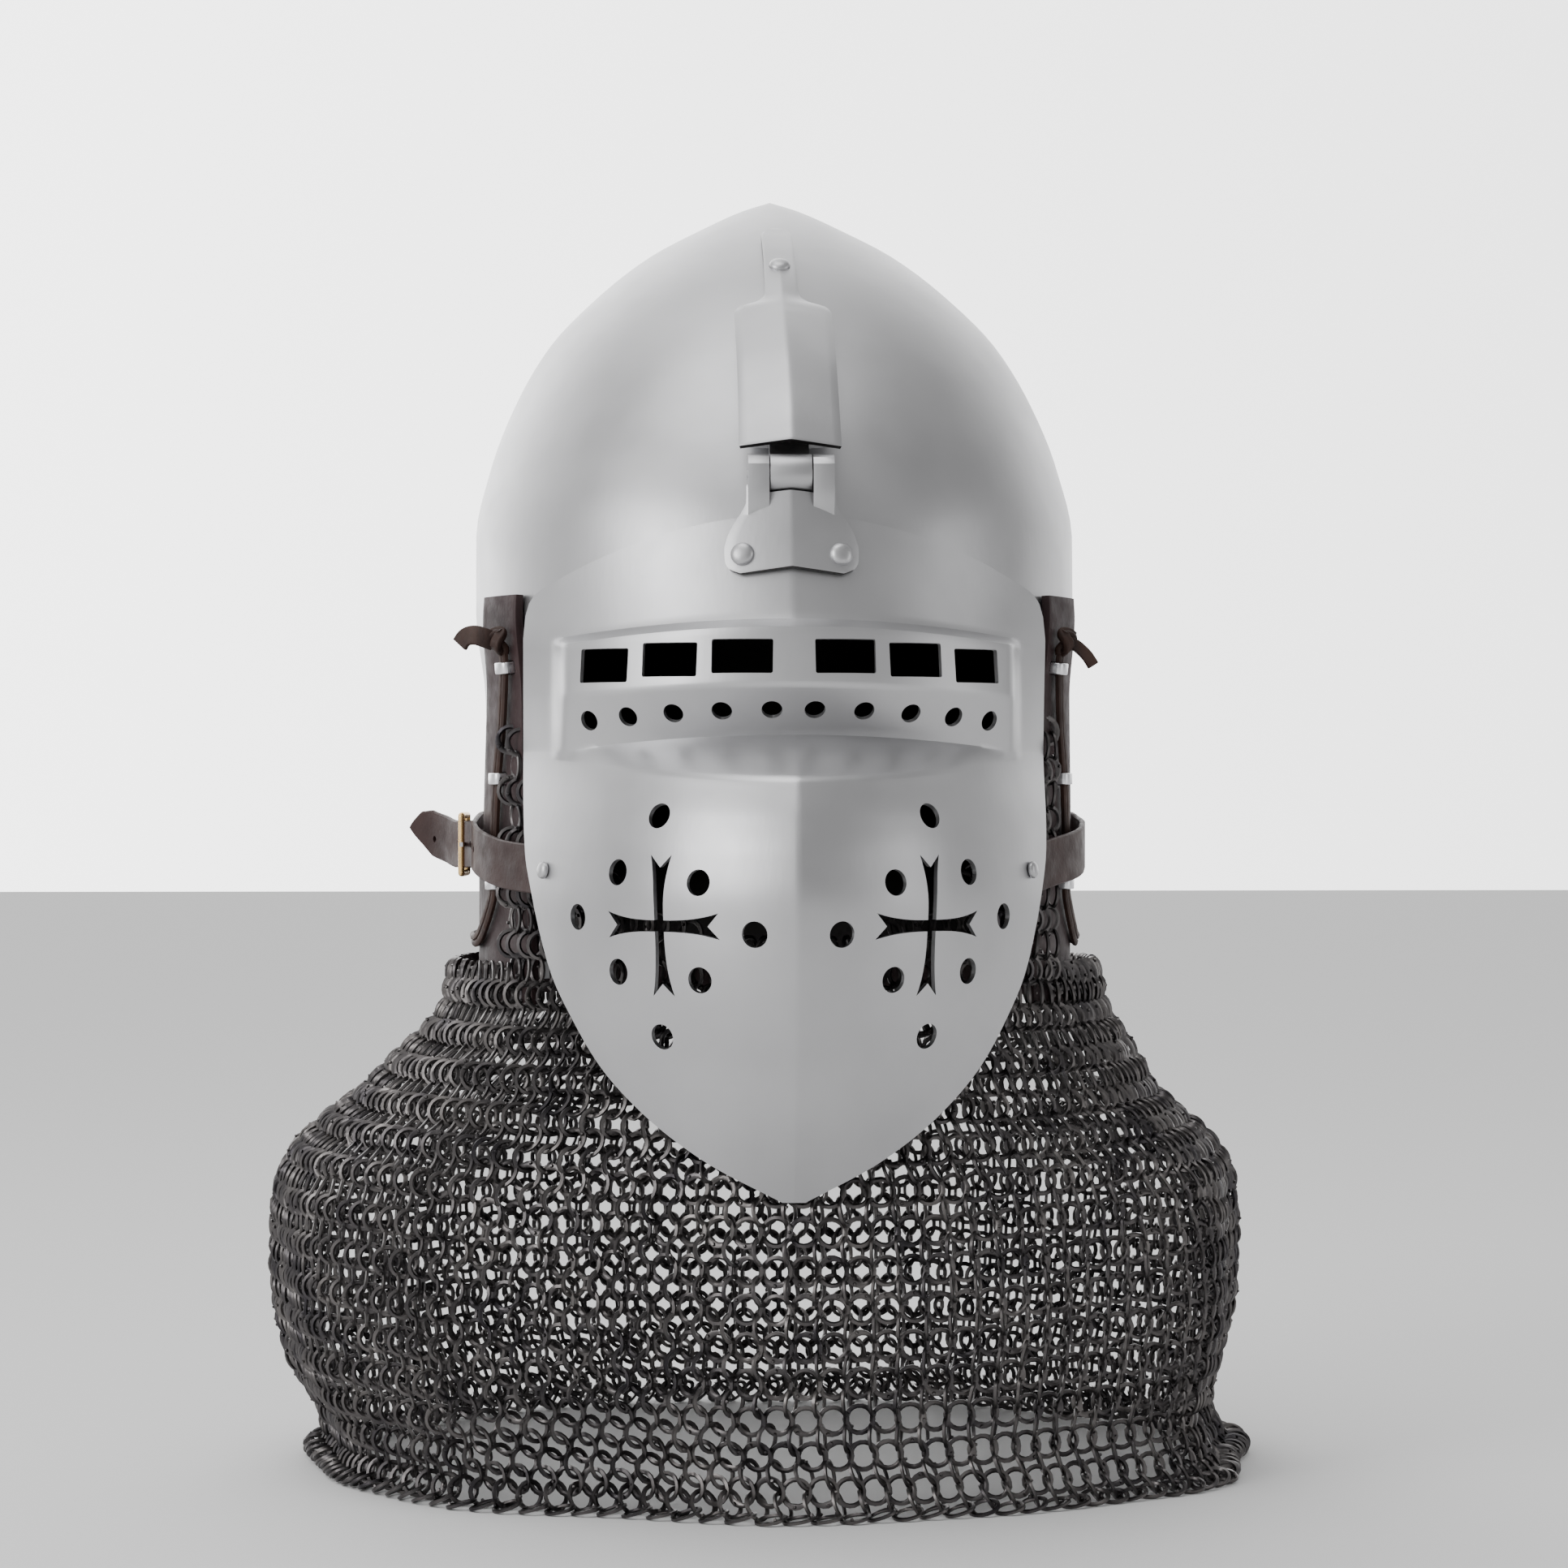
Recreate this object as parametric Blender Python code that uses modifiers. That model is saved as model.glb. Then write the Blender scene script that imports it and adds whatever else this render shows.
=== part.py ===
"""Bascinet with a hinged visor and a mail aventail.  Metres, +Z up, the face looks along -Y.

The origin is the seat on the wearer's head.  Heights in the tables are above the hem of the mail,
depths are forward of the seat (depth = -Y), and place() turns both into the part's own frame.
"""
import math
from collections import namedtuple

import bmesh
import bpy
from mathutils import Matrix, Vector

GAP = 0.0004

# the whole: the mail hangs down from the skull's rim, the seat lies above that rim
MAIL_DROP = 0.1860
RIM = MAIL_DROP
SEAT_HEIGHT = RIM + 0.2140

SKULL_HALF = 0.1136
SKULL_FRONT = 0.1305
SKULL_BACK = 0.1330
SKULL_POINT = 0.0400
SKULL_TALL = 0.2980
SKULL_WALL = 0.0020
SKULL_COLUMNS = 36
RIDGE = 0.0016
OPENING_DEPTH = SKULL_FRONT * .550
OPENING_TOP = RIM + SKULL_TALL * .473

VISOR_WALL = 0.0018
VISOR_TALL = 0.2408
VISOR_TOP = RIM + SKULL_TALL * .557
VISOR_HALF = SKULL_HALF - 0.0188
VISOR_DEPTH = 0.0550
CORNER = 0.0060
BOX_HALF = 0.0800
BOX_FOOT = BOX_HALF + 0.0040

SLOT_TALL = 0.0120
BREATH_RADIUS = 0.00365
HOLE_RADIUS = 0.0046
CROSS_ARM = 0.0243
CROSS_RISE = 0.0245
CROSS_WAIST = 0.0020
CROSS_SPLAY = 0.0046

BAND_WALL = 0.0030
BAND_GAP = 0.0008
BAND_HEM = 0.0120
BAND_NAPE = 0.0390
BAND_BOTTOM = RIM - BAND_HEM
BAND_TOP = OPENING_TOP - 0.0010
BAND_NECK = RIM + BAND_NAPE
BAND_FRONT = OPENING_DEPTH - 0.0010
BAND_REAR_COLUMN = 8
NECK_LINE = RIM + 0.0125

MAIL_WALL = 0.0030
MAIL_HALF = 0.1808
MAIL_FRONT = 0.1455
MAIL_BACK = 0.1605
MAIL_FOLD = 0.0035
MAIL_EASE = .0124
MAIL_COLUMNS = 42
MAIL_EDGE = math.radians(55)
MAIL_SETBACK = .0048
CHIN_FRONT = 0.0150
CHIN_SIDE = 0.0990

PIN_HEIGHT = VISOR_TOP + 0.0144
PIN_RADIUS = 0.0019
PIN_CLEARANCE = 0.0004
KNUCKLE_RADIUS = 0.0072
KNUCKLE_MIDDLE = 0.0074
KNUCKLE_END = 0.0152
LEAF_WALL = 0.0020
LEAF_HALF = 0.0230
BASE_HALF = 0.0072
COVER_WALL = 0.0018
COVER_HALF = 0.0175
TONGUE_HALF = 0.0058
COVER_CROWN = 0.0046
COVER_STAND = 0.0094

RIVET_SHANK = 0.0017
RIVET_CLEARANCE = 0.0004
LEAF_HEAD = 0.0042
COVER_HEAD = 0.0040
STRAP_HEAD = 0.0031
LACE_RADIUS = 0.0015
LOOP_HALF = 0.0021
STRAP_WALL = 0.0020
STRAP_WIDE = 0.0176
BUCKLE_LEVEL = RIM + 0.0485
BUCKLE_WIRE = 0.0009
BUCKLE_LONG = 0.0200

# Every length in the tables is a share of the size that it follows.
# height: of SKULL_TALL above the rim; half_width: of SKULL_HALF;
# front and back: from the point of the skull out to SKULL_FRONT and SKULL_BACK
SKULL = {
    "height":     (1.000, .9866, .9597, .9195, .8624, .7987, .7248, .6409, .5503, .4564, .3490, .2148,
                   .0973, -.0537),
    "half_width": (.0000, .0968, .2377, .4225, .6030, .7570, .8671, .9507, 1.000, 1.000, .9683, .9595,
                   .9551, .9551),
    "front":      (.0000, .0821, .1994, .3402, .5015, .6393, .7695, .8798, .9548, .9900, 1.000, .9883,
                   .9619, .9384),
    "back":       (.0000, .0914, .2151, .3548, .5161, .6505, .7796, .8839, .9624, 1.000, .9892, .8871,
                   .8280, .8925),
}
SKULL_ROWS = (1.000, .9916, .9765, .9530, .9195, .8725, .8121, .7416, .6611, .5705, .4732, .3658, .2483)

# height: of VISOR_TALL above the tip; centre: of VISOR_DEPTH ahead of the brow; half: of VISOR_HALF;
# the fall back from the centre is SKULL_FRONT (keel u + bow u^2 + cheek u^4), u = |x| / SKULL_HALF
VISOR = {
    "height": (1.083, 1.000, .8459, .6134, .5556, .5017, .4456, .3833, .3210, .2616, .1914, .1225,
               .0594, .0000),
    "centre": (-.096, .0091, .2273, .7545, .8909, .9727, 1.000, .9727, .9182, .8455, .7273, .6091,
               .4818, .3545),
    "keel":   (.044, .044, .052, .192, .192, .192, .183, .174, .157, .148, .139, .131, .122, .104),
    "bow":    (.455, .455, .494, .554, .554, .554, .554, .554, .554, .554, .554, .554, .554, .554),
    "cheek":  (.128, .128, .140, .319, .319, .319, .319, .319, .319, .319, .319, .319, .319, .319),
    "half":   (.9916, .9916, .9979, 1.000, .9979, .9916, .9684, .9346, .8882, .8154, .7078, .5432,
               .3291, .0422),
}

# lines across the visor: their level at the middle and their rise towards the sides are shares of
# VISOR_TALL, the rest as in the table above
Line = namedtuple("Line", "level rise centre keel bow cheek")
BOX_LINES = (
    Line(level=.8339, rise=-.0450, centre=.3727, keel=.000, bow=.524, cheek=.153),
    Line(level=.7496, rise=-.0295, centre=.4091, keel=.000, bow=.524, cheek=.153),
    Line(level=.6773, rise=-.0456, centre=.1727, keel=.000, bow=.425, cheek=.140),
)
Edge = namedtuple("Edge", "level rise")
FOOT_LINE = Edge(level=.8459, rise=-.0450)
NOSE_LINE = Edge(level=.6134, rise=.0536)
VISOR_ROWS = (.5681, .5141, .4477, .3771, .3065, .2317, .1528, .0739, .0000)
VISOR_STATIONS = (0, BOX_HALF * .2, BOX_HALF * .4, BOX_HALF * .6, BOX_HALF * .8, BOX_HALF, BOX_FOOT,
                  BOX_FOOT + (VISOR_HALF - BOX_FOOT) * .56, VISOR_HALF)

# sights and breaths: across, as shares of BOX_HALF
Slot = namedtuple("Slot", "inner outer")
SLOTS = (Slot(.094, .360), Slot(.425, .660), Slot(.725, .930))
BREATHS = (.094, .312, .522, .719, .889)

# the cross and its holes: across, of VISOR_HALF, and up from the tip, of VISOR_TALL
Spot = namedtuple("Spot", "x height")
CROSS = Spot(.498, .402)
HOLES = (Spot(.496, .560), Spot(.359, .465), Spot(.647, .478), Spot(.793, .4115), Spot(.158, .392),
         Spot(.6445, .334), Spot(.352, .3255), Spot(.485, .2415))

# height: of MAIL_DROP above the hem; half, front and back: from the neck out to MAIL_HALF, MAIL_FRONT
# and MAIL_BACK; fold: of MAIL_FOLD
MAIL = {
    "height": (1.000, .9462, .8925, .8253, .7586, .6919, .6258, .5591, .4925, .3591, .2258, .0925,
               .0323, .0086),
    "half":   (.000, .030, .118, .300, .459, .700, .905, .985, 1.000, .990, .910, .760, .780, .920),
    "front":  (.000, .087, .206, .380, .533, .663, .772, .859, .924, 1.000, .957, .880, .967, 1.163),
    "back":   (.000, .071, .214, .375, .554, .732, .875, .982, 1.000, .946, .804, .661, .768, 1.089),
    "fold":   (.000, .000, .000, .143, .286, .429, .571, .714, .857, 1.000, 1.000, 1.000, .857, .714),
}
MAIL_ROWS = (1.000, .9250, .8390, .7420, .6400, .5380, .4090, .2690, .1340, .0430)

LOOKS = {
    "steel":   ((.62, .62, .63), 1.0, .32),
    "iron":    ((.11, .105, .10), 1.0, .42),
    "leather": ((.055, .035, .035), 0.0, .60),
    "strap":   ((.045, .022, .015), 0.0, .55),
    "lace":    ((.16, .075, .040), 0.0, .70),
    "tin":     ((.70, .71, .72), 1.0, .30),
    "brass":   ((.78, .52, .22), 1.0, .28),
}


def clear():
    for obj in list(bpy.data.objects):
        bpy.data.objects.remove(obj)


def look(name):
    material = bpy.data.materials.get(name)
    if material is None:
        colour, metallic, roughness = LOOKS[name]
        material = bpy.data.materials.new(name)
        material.use_nodes = True
        shader = material.node_tree.nodes["Principled BSDF"]
        shader.inputs["Base Color"].default_value = (*colour, 1)
        shader.inputs["Metallic"].default_value = metallic
        shader.inputs["Roughness"].default_value = roughness
        material.diffuse_color = (*colour, 1)
    return material


def place(x, depth, height):
    return Vector((x, -depth, height - SEAT_HEIGHT))


def track(table, column, height):
    """A smooth, never overshooting curve through one column of a table, tallest row first."""
    xs = table["height"][::-1]
    ys = table[column][::-1]
    if height <= xs[0]:
        return ys[0]
    if height >= xs[-1]:
        return ys[-1]
    i = max(k for k in range(len(xs) - 1) if xs[k] <= height)

    def slope(k):
        if k <= 0 or k >= len(xs) - 1:
            k = min(max(k, 0), len(xs) - 2)
            return (ys[k + 1] - ys[k]) / (xs[k + 1] - xs[k])
        left = (ys[k] - ys[k - 1]) / (xs[k] - xs[k - 1])
        right = (ys[k + 1] - ys[k]) / (xs[k + 1] - xs[k])
        return 0 if left * right <= 0 else 2 * left * right / (left + right)

    step = xs[i + 1] - xs[i]
    t = (height - xs[i]) / step
    return ((1 + 2 * t) * (1 - t) ** 2 * ys[i] + t * (1 - t) ** 2 * step * slope(i)
            + t * t * (3 - 2 * t) * ys[i + 1] + t * t * (t - 1) * step * slope(i + 1))


def add(name, mesh, finish):
    obj = bpy.data.objects.new(name, mesh)
    obj.data.materials.clear()
    obj.data.materials.append(look(finish))
    bpy.context.scene.collection.objects.link(obj)
    return obj


def sheet(name, rows, finish, closed=False, keep=None):
    """An open sheet from rows of points, outer side first: rows run down, columns from left to right."""
    points = [p for row in rows for p in row]
    wide = len(rows[0])
    faces = []
    for i in range(len(rows) - 1):
        for j in range(wide if closed else wide - 1):
            k = (j + 1) % wide
            if keep is None or keep(i, j):
                faces.append((i * wide + j, (i + 1) * wide + j, (i + 1) * wide + k, i * wide + k))
    mesh = bpy.data.meshes.new(name)
    mesh.from_pydata(points, [], faces)
    bm = bmesh.new()
    bm.from_mesh(mesh)
    bmesh.ops.remove_doubles(bm, verts=bm.verts, dist=1e-6)
    loose = [v for v in bm.verts if not v.link_faces]
    bmesh.ops.delete(bm, geom=loose, context="VERTS")
    bm.to_mesh(mesh)
    bm.free()
    return add(name, mesh, finish)


def thicken(obj, wall, side=-1, even=True):
    solid = obj.modifiers.new("wall", "SOLIDIFY")
    solid.thickness = wall
    solid.offset = side
    solid.use_even_offset = even
    solid.use_quality_normals = True
    return obj


def cutters():
    name = "cutters"
    group = bpy.data.collections.get(name)
    if group is None:
        group = bpy.data.collections.new(name)
        bpy.context.scene.collection.children.link(group)
    return group


def hide(obj):
    for group in list(obj.users_collection):
        group.objects.unlink(obj)
    cutters().objects.link(obj)
    obj.hide_render = True
    obj.display_type = "WIRE"
    return obj


def join_meshes(name, meshes):
    bm = bmesh.new()
    for mesh in meshes:
        bm.from_mesh(mesh)
        bpy.data.meshes.remove(mesh)
    mesh = bpy.data.meshes.new(name)
    bm.to_mesh(mesh)
    bm.free()
    return hide(add(name, mesh, "steel"))


def boolean(obj, other, operation="DIFFERENCE"):
    cut = obj.modifiers.new(operation.lower(), "BOOLEAN")
    cut.operation = operation
    cut.solver = "EXACT"
    cut.object = other
    return obj


def frame(point, normal, up=Vector((0, 0, 1))):
    """A matrix at a point whose z axis is the normal and whose y axis leans to up."""
    z = normal.normalized()
    x = up.cross(z).normalized()
    y = z.cross(x)
    matrix = Matrix((x, y, z)).transposed().to_4x4()
    matrix.translation = point
    return matrix


def prism_mesh(outline, low, high, matrix):
    bm = bmesh.new()
    ring = [bm.verts.new((x, y, low)) for x, y in outline]
    face = bm.faces.new(ring)
    grown = bmesh.ops.extrude_face_region(bm, geom=[face])
    for item in grown["geom"]:
        if isinstance(item, bmesh.types.BMVert):
            item.co.z = high
    bmesh.ops.recalc_face_normals(bm, faces=bm.faces)
    bmesh.ops.transform(bm, matrix=matrix, verts=bm.verts)
    mesh = bpy.data.meshes.new("prism")
    bm.to_mesh(mesh)
    bm.free()
    return mesh


def disc(radius, sides=12, turn=0.0):
    return [(radius * math.cos(turn + 2 * math.pi * k / sides), radius * math.sin(turn + 2 * math.pi * k / sides))
            for k in range(sides)]


def block(half_x, half_y):
    return [(-half_x, -half_y), (half_x, -half_y), (half_x, half_y), (-half_x, half_y)]


def normal_of(surface, a, b, step_a, step_b):
    across = surface(a + step_a, b) - surface(a - step_a, b)
    down = surface(a, b - step_b) - surface(a, b + step_b)
    return down.cross(across).normalized()


def skull_extent(height):
    share = (height - RIM) / SKULL_TALL
    front = (SKULL_FRONT + SKULL_POINT) * track(SKULL, "front", share) - SKULL_POINT
    back = (SKULL_BACK - SKULL_POINT) * track(SKULL, "back", share) + SKULL_POINT
    return SKULL_HALF * track(SKULL, "half_width", share), front, back


def skull_point(turn, height):
    half, front, back = skull_extent(height)
    x = half * math.sin(turn)
    depth = (front - back) / 2 + (front + back) / 2 * math.cos(turn)
    if math.cos(turn) > 0:
        share = (height - RIM) / SKULL_TALL
        depth += RIDGE * math.exp(-(x / (SKULL_HALF * .1)) ** 2) * min(1, max(0, (.973 - share) / .067))
    return place(x, depth, height)


def skull_lifted(turn, height, lift):
    point = skull_point(turn, height)
    return point + normal_of(skull_point, turn, height, .01, .001) * lift


def build_skull():
    turns = [2 * math.pi * k / SKULL_COLUMNS for k in range(SKULL_COLUMNS)]
    heights = [RIM + SKULL_TALL * share for share in SKULL_ROWS]
    heights += [BAND_NECK, (BAND_NECK + RIM) / 2, RIM]
    skull = sheet("skull", [[skull_point(t, h) for t in turns] for h in heights], "steel", closed=True)
    thicken(skull, SKULL_WALL)
    low = RIM - .08
    far = -SKULL_FRONT - .03
    side = [(far, low), (far, OPENING_TOP), (-OPENING_DEPTH - .012, OPENING_TOP),
            (-OPENING_DEPTH - .004, OPENING_TOP - .003), (-OPENING_DEPTH, OPENING_TOP - .011),
            (-OPENING_DEPTH, low)]
    across = Matrix(((0, 0, 1, 0), (1, 0, 0, 0), (0, 1, 0, -SEAT_HEIGHT), (0, 0, 0, 1)))
    opening = join_meshes("opening", [prism_mesh(side, -SKULL_HALF - .02, SKULL_HALF + .02, across)])
    boolean(skull, opening)
    return skull


def fall(x, keel, bow, cheek):
    u = abs(x) / SKULL_HALF
    return SKULL_FRONT * (keel * u + bow * u ** 2 + cheek * u ** 4)


def visor_level(share):
    return VISOR_TOP - VISOR_TALL * (1 - share)


def visor_share(height):
    return 1 - (VISOR_TOP - height) / VISOR_TALL


def plain_depth(x, height):
    keel, bow, cheek = (track(VISOR, column, visor_share(height)) for column in ("keel", "bow", "cheek"))
    return SKULL_FRONT + VISOR_DEPTH * track(VISOR, "centre", visor_share(height)) - fall(x, keel, bow, cheek)


def line_depth(line, x):
    return SKULL_FRONT + VISOR_DEPTH * line.centre - fall(x, line.keel, line.bow, line.cheek)


def line_height(line, x):
    return visor_level(line.level + line.rise * (min(abs(x), BOX_HALF) / SKULL_HALF) ** 2)


def top_height(x):
    drop = max(0.0, abs(x) - (VISOR_HALF * VISOR["half"][1] - CORNER))
    arch = VISOR_TALL * .1715 * (x / SKULL_HALF) ** 2
    return VISOR_TOP - arch - CORNER + math.sqrt(max(0, CORNER ** 2 - drop ** 2))


def visor_point(x, height):
    return place(x, plain_depth(x, height), height)


def box_point(x, height):
    """A point on the sight plate or on the strip below it."""
    top, foot, crease = BOX_LINES
    upper, lower = (top, foot) if height > line_height(foot, x) else (foot, crease)
    span = line_height(upper, x) - line_height(lower, x)
    share = (line_height(upper, x) - height) / span
    depth = line_depth(upper, x) + (line_depth(lower, x) - line_depth(upper, x)) * share
    return place(x, depth, height)


def visor_rows(stations):
    xs = [-x for x in reversed(stations[1:])] + list(stations)
    top = [x * VISOR["half"][1] for x in xs]
    rows = [[visor_point(x, top_height(x)) for x in top],
            [visor_point(x, (top_height(x) + line_height(FOOT_LINE, x)) / 2) for x in top],
            [visor_point(x, line_height(FOOT_LINE, x)) for x in xs]]
    for line in BOX_LINES:
        row = []
        for x in xs:
            height = line_height(line, x)
            proud = abs(x) <= BOX_HALF + 1e-6
            row.append(place(x, line_depth(line, x) if proud else plain_depth(x, height), height))
        rows.append(row)
    rows.append([visor_point(x, line_height(NOSE_LINE, x)) for x in xs])
    for share in VISOR_ROWS:
        rows.append([visor_point(x * track(VISOR, "half", share), visor_level(share)) for x in xs])
    return rows


def pierce_visor(visor):
    meshes = []
    for side in (-1, 1):
        for slot in SLOTS:
            x = side * BOX_HALF * (slot.inner + slot.outer) / 2
            height = (line_height(BOX_LINES[0], x) + line_height(BOX_LINES[1], x)) / 2
            normal = normal_of(box_point, x, height, .002, .001)
            half = BOX_HALF * (slot.outer - slot.inner) / 2 * math.hypot(normal.x, normal.y) / abs(normal.y)
            meshes.append(prism_mesh(block(half, SLOT_TALL / 2), -.012, .006, frame(box_point(x, height), normal)))
        for share in BREATHS:
            x = side * BOX_HALF * share
            height = (line_height(BOX_LINES[1], x) + line_height(BOX_LINES[2], x)) / 2
            normal = normal_of(box_point, x, height, .002, .001)
            meshes.append(prism_mesh(disc(BREATH_RADIUS, 8), -.010, .005, frame(box_point(x, height), normal)))
        for hole in HOLES:
            meshes.append(prism_mesh(disc(HOLE_RADIUS, 10), -.010, .006, visor_frame(side, hole, .002)))
        meshes.append(prism_mesh(cross_outline(), -.014, .012, visor_frame(side, CROSS, .010)))
        for x, height in (LEAF_RIVET, STRAP_RIVET):
            meshes.append(rivet_hole(visor_point, side * x, height))
    boolean(visor, join_meshes("piercings", meshes))


LEAF_RIVET = (LEAF_HALF * .73, VISOR_TOP - .0150)
STRAP_RIVET = (VISOR_HALF - .0080, BUCKLE_LEVEL - .0083)


def visor_frame(side, spot, step):
    x = side * spot.x * VISOR_HALF
    height = visor_level(spot.height)
    return frame(visor_point(x, height), normal_of(visor_point, x, height, step, step))


def rivet_hole(surface, x, height, low=-.010, high=.008):
    normal = normal_of(surface, x, height, .002, .002)
    return prism_mesh(disc(RIVET_SHANK + RIVET_CLEARANCE, 8), low, high, frame(surface(x, height), normal))


def cross_outline():
    """Four splayed arms, each with a forked end, taken anticlockwise."""
    points = []
    for quarter in range(4):
        reach = CROSS_RISE if quarter % 2 == 0 else CROSS_ARM
        arm = ((CROSS_WAIST, CROSS_WAIST), (CROSS_WAIST * 1.25, reach * .5), (CROSS_SPLAY, reach),
               (0, reach - CROSS_SPLAY * .91), (-CROSS_SPLAY, reach), (-CROSS_WAIST * 1.25, reach * .5))
        turn = quarter * math.pi / 2
        points += [(x * math.cos(turn) - y * math.sin(turn), x * math.sin(turn) + y * math.cos(turn))
                   for x, y in arm]
    return points


def build_visor():
    visor = sheet("visor", visor_rows(VISOR_STATIONS), "steel")
    thicken(visor, VISOR_WALL)
    pierce_visor(visor)
    return visor


def rivet(name, surface, x, height, out, back, step, head):
    """A domed rivet: its head stands on the surface lifted by out, its tail lies back below it."""
    profile = [(0, out + .0016), (head * .55, out + .0013), (head * .9, out + .0006), (head, out),
               (RIVET_SHANK, out), (RIVET_SHANK, -back), (head * .7, -back), (head * .6, -back - .0009),
               (0, -back - .0012)]
    bm = bmesh.new()
    line = [bm.verts.new((r, 0, z)) for r, z in profile]
    for a, b in zip(line, line[1:]):
        bm.edges.new((a, b))
    bmesh.ops.spin(bm, geom=bm.verts[:] + bm.edges[:], angle=2 * math.pi, steps=8, axis=(0, 0, 1),
                   cent=(0, 0, 0), use_merge=True)
    bmesh.ops.remove_doubles(bm, verts=bm.verts, dist=1e-6)
    bmesh.ops.recalc_face_normals(bm, faces=bm.faces)
    normal = normal_of(surface, x, height, step, .002)
    bmesh.ops.transform(bm, matrix=frame(surface(x, height), normal), verts=bm.verts)
    mesh = bpy.data.meshes.new(name)
    bm.to_mesh(mesh)
    bm.free()
    return add(name, mesh, "steel")


def cylinder_mesh(radius, low, high, sides):
    """A cylinder along X on the hinge line."""
    along = Matrix(((0, 0, 1, 0), (1, 0, 0, -pin_depth()), (0, 1, 0, PIN_HEIGHT - SEAT_HEIGHT), (0, 0, 0, 1)))
    return prism_mesh(disc(radius, sides, math.pi / sides), low, high, along)


def pin_depth():
    return -skull_point(0, PIN_HEIGHT).y + KNUCKLE_RADIUS + .0012


def front_line(height):
    """The skull's middle line and its outward normal."""
    point = skull_point(0, height)
    slope = (skull_point(0, height - .004) - skull_point(0, height + .004)).normalized()
    return point, Vector((0, slope.z, -slope.y))


def build_hinge():
    # down the front of the skull: height is a share of SKULL_TALL, stand of COVER_STAND, crown of COVER_CROWN
    Cover = namedtuple("Cover", "height stand half crown")
    cover_rows = (Cover(.9345, .06, TONGUE_HALF * .76, 0), Cover(.9265, .06, TONGUE_HALF, 0),
                  Cover(.8960, .06, TONGUE_HALF, 0), Cover(.8725, .06, TONGUE_HALF, 0),
                  Cover(.8490, .06, TONGUE_HALF, 0), Cover(.8305, .08, TONGUE_HALF, .09),
                  Cover(.8154, .17, COVER_HALF * .914, .48), Cover(.7987, .26, COVER_HALF, .70),
                  Cover(.7617, .47, COVER_HALF, .83), Cover(.7181, .70, COVER_HALF, .91),
                  Cover(.6210, 1.0, COVER_HALF, 1.0))
    rows = []
    for row in cover_rows:
        point, normal = front_line(RIM + SKULL_TALL * row.height)
        base = point + normal * row.stand * COVER_STAND
        rows.append([base + Vector((row.half * k / 2, 0, 0)) + normal * row.crown * COVER_CROWN * (1 - abs(k) / 2)
                     for k in (-2, -1, 0, 1, 2)])
    cover = thicken(sheet("hinge_cover", rows, "steel"), COVER_WALL, side=1)

    boolean(cover, join_meshes("cover_hole", [rivet_hole(on_front, 0, COVER_RIVET)]))

    rows = []
    for rise in (.0386, .0266, .0156, .0076):
        point, normal = front_line(PIN_HEIGHT + rise)
        rows.append([point + normal * (GAP + .0002) + Vector((x, 0, 0)) for x in (-BASE_HALF, BASE_HALF)])
    rows.append([place(x, pin_depth() - .0020, PIN_HEIGHT + .0005) for x in (-BASE_HALF, BASE_HALF)])
    base = thicken(sheet("hinge_base", rows, "steel"), LEAF_WALL, side=1)
    middle = join_meshes("middle_knuckle", [cylinder_mesh(KNUCKLE_RADIUS, -KNUCKLE_MIDDLE, KNUCKLE_MIDDLE, 12)])
    boolean(base, middle, "UNION")
    bore = join_meshes("bore", [cylinder_mesh(PIN_RADIUS + PIN_CLEARANCE, -KNUCKLE_END - .01, KNUCKLE_END + .01, 12)])
    boolean(base, bore)

    # height: below or above the visor's upper edge; half and the sag of each row at its ends
    Leaf = namedtuple("Leaf", "height half sag")
    leaf_rows = (Leaf(.0130, KNUCKLE_END, 0), Leaf(-.0010, KNUCKLE_END, 0), Leaf(-.0068, LEAF_HALF * .79, .0004),
                 Leaf(-.0110, LEAF_HALF * .95, .0007), Leaf(-.0156, LEAF_HALF, .0008),
                 Leaf(-.0200, LEAF_HALF * .9, .0016))
    rows = []
    for row in leaf_rows:
        line = []
        for share in (-1, -.62, -.31, 0, .31, .62, 1):
            x = share * row.half
            height = VISOR_TOP + row.height - row.sag * share ** 2
            normal = normal_of(visor_point, x, height, .003, .002)
            line.append(visor_point(x, height) + normal * GAP)
        rows.append(line)
    leaf = thicken(sheet("hinge_leaf", rows, "steel"), LEAF_WALL, side=1)
    ends = join_meshes("end_knuckles", [
        cylinder_mesh(KNUCKLE_RADIUS, KNUCKLE_MIDDLE + GAP, KNUCKLE_END, 12),
        cylinder_mesh(KNUCKLE_RADIUS, -KNUCKLE_END, -KNUCKLE_MIDDLE - GAP, 12)])
    boolean(leaf, ends, "UNION")
    boolean(leaf, bore)
    clearance = join_meshes("clearance", [cylinder_mesh(KNUCKLE_RADIUS + .0008, -KNUCKLE_MIDDLE - GAP,
                                                        KNUCKLE_MIDDLE + GAP, 12)])
    boolean(leaf, clearance)
    holes = [rivet_hole(visor_point, side * LEAF_RIVET[0], LEAF_RIVET[1]) for side in (-1, 1)]
    boolean(leaf, join_meshes("leaf_holes", holes))

    pin = add("hinge_pin", cylinder_mesh(PIN_RADIUS, -KNUCKLE_END - .0003, KNUCKLE_END + .0003, 12), "steel")
    soften = pin.modifiers.new("ends", "BEVEL")
    soften.width = .0005
    soften.segments = 1
    soften.limit_method = "ANGLE"
    return cover, base, leaf, pin


COVER_RIVET = RIM + SKULL_TALL * .876


def on_front(x, height):
    """The skull's front, taken level across its middle line."""
    return front_line(height)[0] + Vector((x, 0, 0))


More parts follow.
